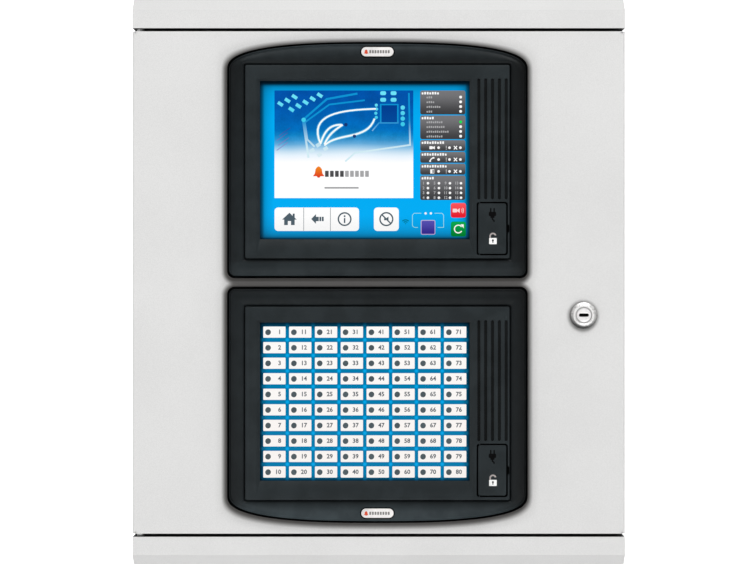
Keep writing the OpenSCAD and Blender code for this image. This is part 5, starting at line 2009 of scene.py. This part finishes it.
    def add_batteries(self) -> None:
        """Adds the batteries' lids, blank labels and terminal marks."""
        lids, labels, marks = [], [], {"red": [], "black": []}
        for node in ("battery_left", "battery_right"):
            low, high = node_box(node)
            lid = Bench.block("lid", (low.x - 0.2, low.y - 0.2, high.z - 9), (high.x + 0.2, high.y + 0.2, high.z + 0.2), 0.6)
            wells = [Bench.block("well", (x, high.y - 22.2, high.z - 12), (x + 20.4, high.y - 5.8, high.z + 1))
                     for x in (low.x + 1.8, high.x - 22.2)]
            strip = Bench.block("strip", (low.x + 34, high.y - 18, high.z), (high.x - 34, high.y - 8, high.z + 1.0), 0.4)
            lids += [Bench.cut(lid, wells), strip]
            labels.append(Bench.prism("label", Outline.rounded(
                (low.x + 22, high.x - 22), (low.z + 12, low.z + 52), 2), low.y - 0.12, low.y + 0.02))
            for key, x in (("red", low.x + 12.2), ("black", high.x - 11.8)):
                marks[key].append(Bench.block("mark", (x - 5, high.y - 18, high.z - 3), (x + 5, high.y - 10, high.z - 1.6), 0.3))
        lid_grey = Moulding("battery lid", (0.020, 0.021, 0.024), 0.5, 1.2, 0.02, 0.4).make()
        fit(Bench.join("battery_lids", lids), "cabinet", lid_grey)
        silver = Moulding("battery label", (0.36, 0.37, 0.38), 0.35, 0.8, gloss=0.5).make()
        fit(Bench.join("battery_labels", labels), "cabinet", silver)
        red = Moulding("terminal red", (0.45, 0.02, 0.02), 0.4, 0.8, gloss=0.5).make()
        fit(Bench.join("battery_marks_red", marks["red"]), "cabinet", red)
        fit(Bench.join("battery_marks_black", marks["black"]), "cabinet", self.palette.ink_black)

    def add_earth_nuts(self) -> None:
        """Screws a second nut and a washer on each earth stud."""
        low, high = node_box("earth_studs")
        nuts, washers = [], []
        for x, z in ((low.x + 5.8, low.z + 5.02), (low.x + 5.8, high.z - 5.02), (high.x - 5.8, high.z - 5.02)):
            nuts.append(Bench.soften(Bench.prism("nut", Outline.ring(x, z, 5.6, 6), -12.0, -8.2), 0.3))
            washers.append(Bench.prism("washer", Outline.ring(x, z, 6.4, 32), -8.2, -7.2))
        fit(Bench.join("earth_nuts", nuts), "cabinet", self.palette.brass)
        fit(Bench.join("earth_washers", washers), "cabinet", self.palette.zinc)


@dataclass
class Studio:
    """Floor, backdrop, lights and camera."""

    distance: float = 1500
    camera_x: float = -2.25
    camera_z: float = 0.4
    lens: float = 87.6
    floor_z: float = -0.7
    floor_glow: float = 0.06
    backdrop_glow: float = 0.8
    ambient: float = 0.38
    lamps: Sequence[tuple[str, Solid, Flat, float]] = (
        ("overhead", (0.35, -1.9, 2.3), (2.6, 1.4), 52.0),
        ("upward", (0.0, -1.5, -0.62), (2.4, 0.6), 5.0),
        ("left", (-2.2, -1.6, 0.3), (0.7, 1.6), 6.0),
    )

    def build(self) -> None:
        """Sets the stage."""
        self.floor()
        self.lights()
        self.camera()
        bpy.context.scene.view_settings.view_transform = "Standard"

    def floor(self) -> None:
        """Lays a pale floor and stands a bright backdrop behind it."""
        Bench.clear()
        bpy.ops.mesh.primitive_plane_add(size=12, location=(0, 0, self.floor_z))
        floor = Bench.settle("floor")
        self.paper(floor, 0.80, self.floor_glow)
        Bench.clear()
        bpy.ops.mesh.primitive_plane_add(size=12, location=(0, 2.4, 3), rotation=(math.pi / 2, 0, 0))
        self.paper(Bench.settle("backdrop"), 0.86, self.backdrop_glow)

    @staticmethod
    def paper(sheet: Piece, tone: float, glow: float) -> None:
        """Covers a stage piece with pale paper.

        Args:
            sheet: The stage piece.
            tone: How pale it is.
            glow: How much it lights itself.
        """
        r = Recipe(f"{sheet.name} paper")
        r.set(Roughness=0.9, Emission_Color=(1, 1, 1), Emission_Strength=glow)
        r.wire(r.blend(r.noise(4, 2), (tone, tone, tone), (tone + 0.02,) * 3), "Base Color")
        sheet.data.materials.append(r.material)

    def lights(self) -> None:
        """Hangs the soft lights."""
        world = bpy.data.worlds.new("studio")
        world.use_nodes = True
        world.node_tree.nodes["Background"].inputs["Color"].default_value = (1, 1, 1, 1)
        world.node_tree.nodes["Background"].inputs["Strength"].default_value = self.ambient
        bpy.context.scene.world = world
        for name, place, size, power in self.lamps:
            light = bpy.data.lights.new(name, "AREA")
            light.shape = "RECTANGLE"
            light.size, light.size_y = size
            light.energy = power
            lamp = bpy.data.objects.new(name, light)
            bpy.context.scene.collection.objects.link(lamp)
            lamp.location = place
            aim = Vector((0, -0.1, 0)) - Vector(place)
            lamp.rotation_euler = aim.to_track_quat("-Z", "Y").to_euler()

    def camera(self) -> None:
        """Places the camera square in front of the door."""
        data = bpy.data.cameras.new("camera")
        data.lens = self.lens
        data.clip_end = 50
        camera = bpy.data.objects.new("camera", data)
        bpy.context.scene.collection.objects.link(camera)
        door = node_box("door_panel")[0].y
        camera.location = (self.camera_x * MM, (door - self.distance) * MM, self.camera_z * MM)
        camera.rotation_euler = (math.pi / 2, 0, 0)
        bpy.context.scene.camera = camera


def main() -> None:
    """Builds the studio and the panel."""
    logging.basicConfig(level=logging.INFO, format="%(message)s")
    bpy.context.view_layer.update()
    palette = Palette()
    Studio().build()
    Cabinet(palette).build()
    Electronics(palette).build()
    Door(palette).build()
    CamLock(palette).build()
    DisplayModule("display", Side.UPPER, palette).build()
    ZoneModule("zone", Side.LOWER, palette).build()
    Bench.clear()


if __name__ == "__main__":
    main()
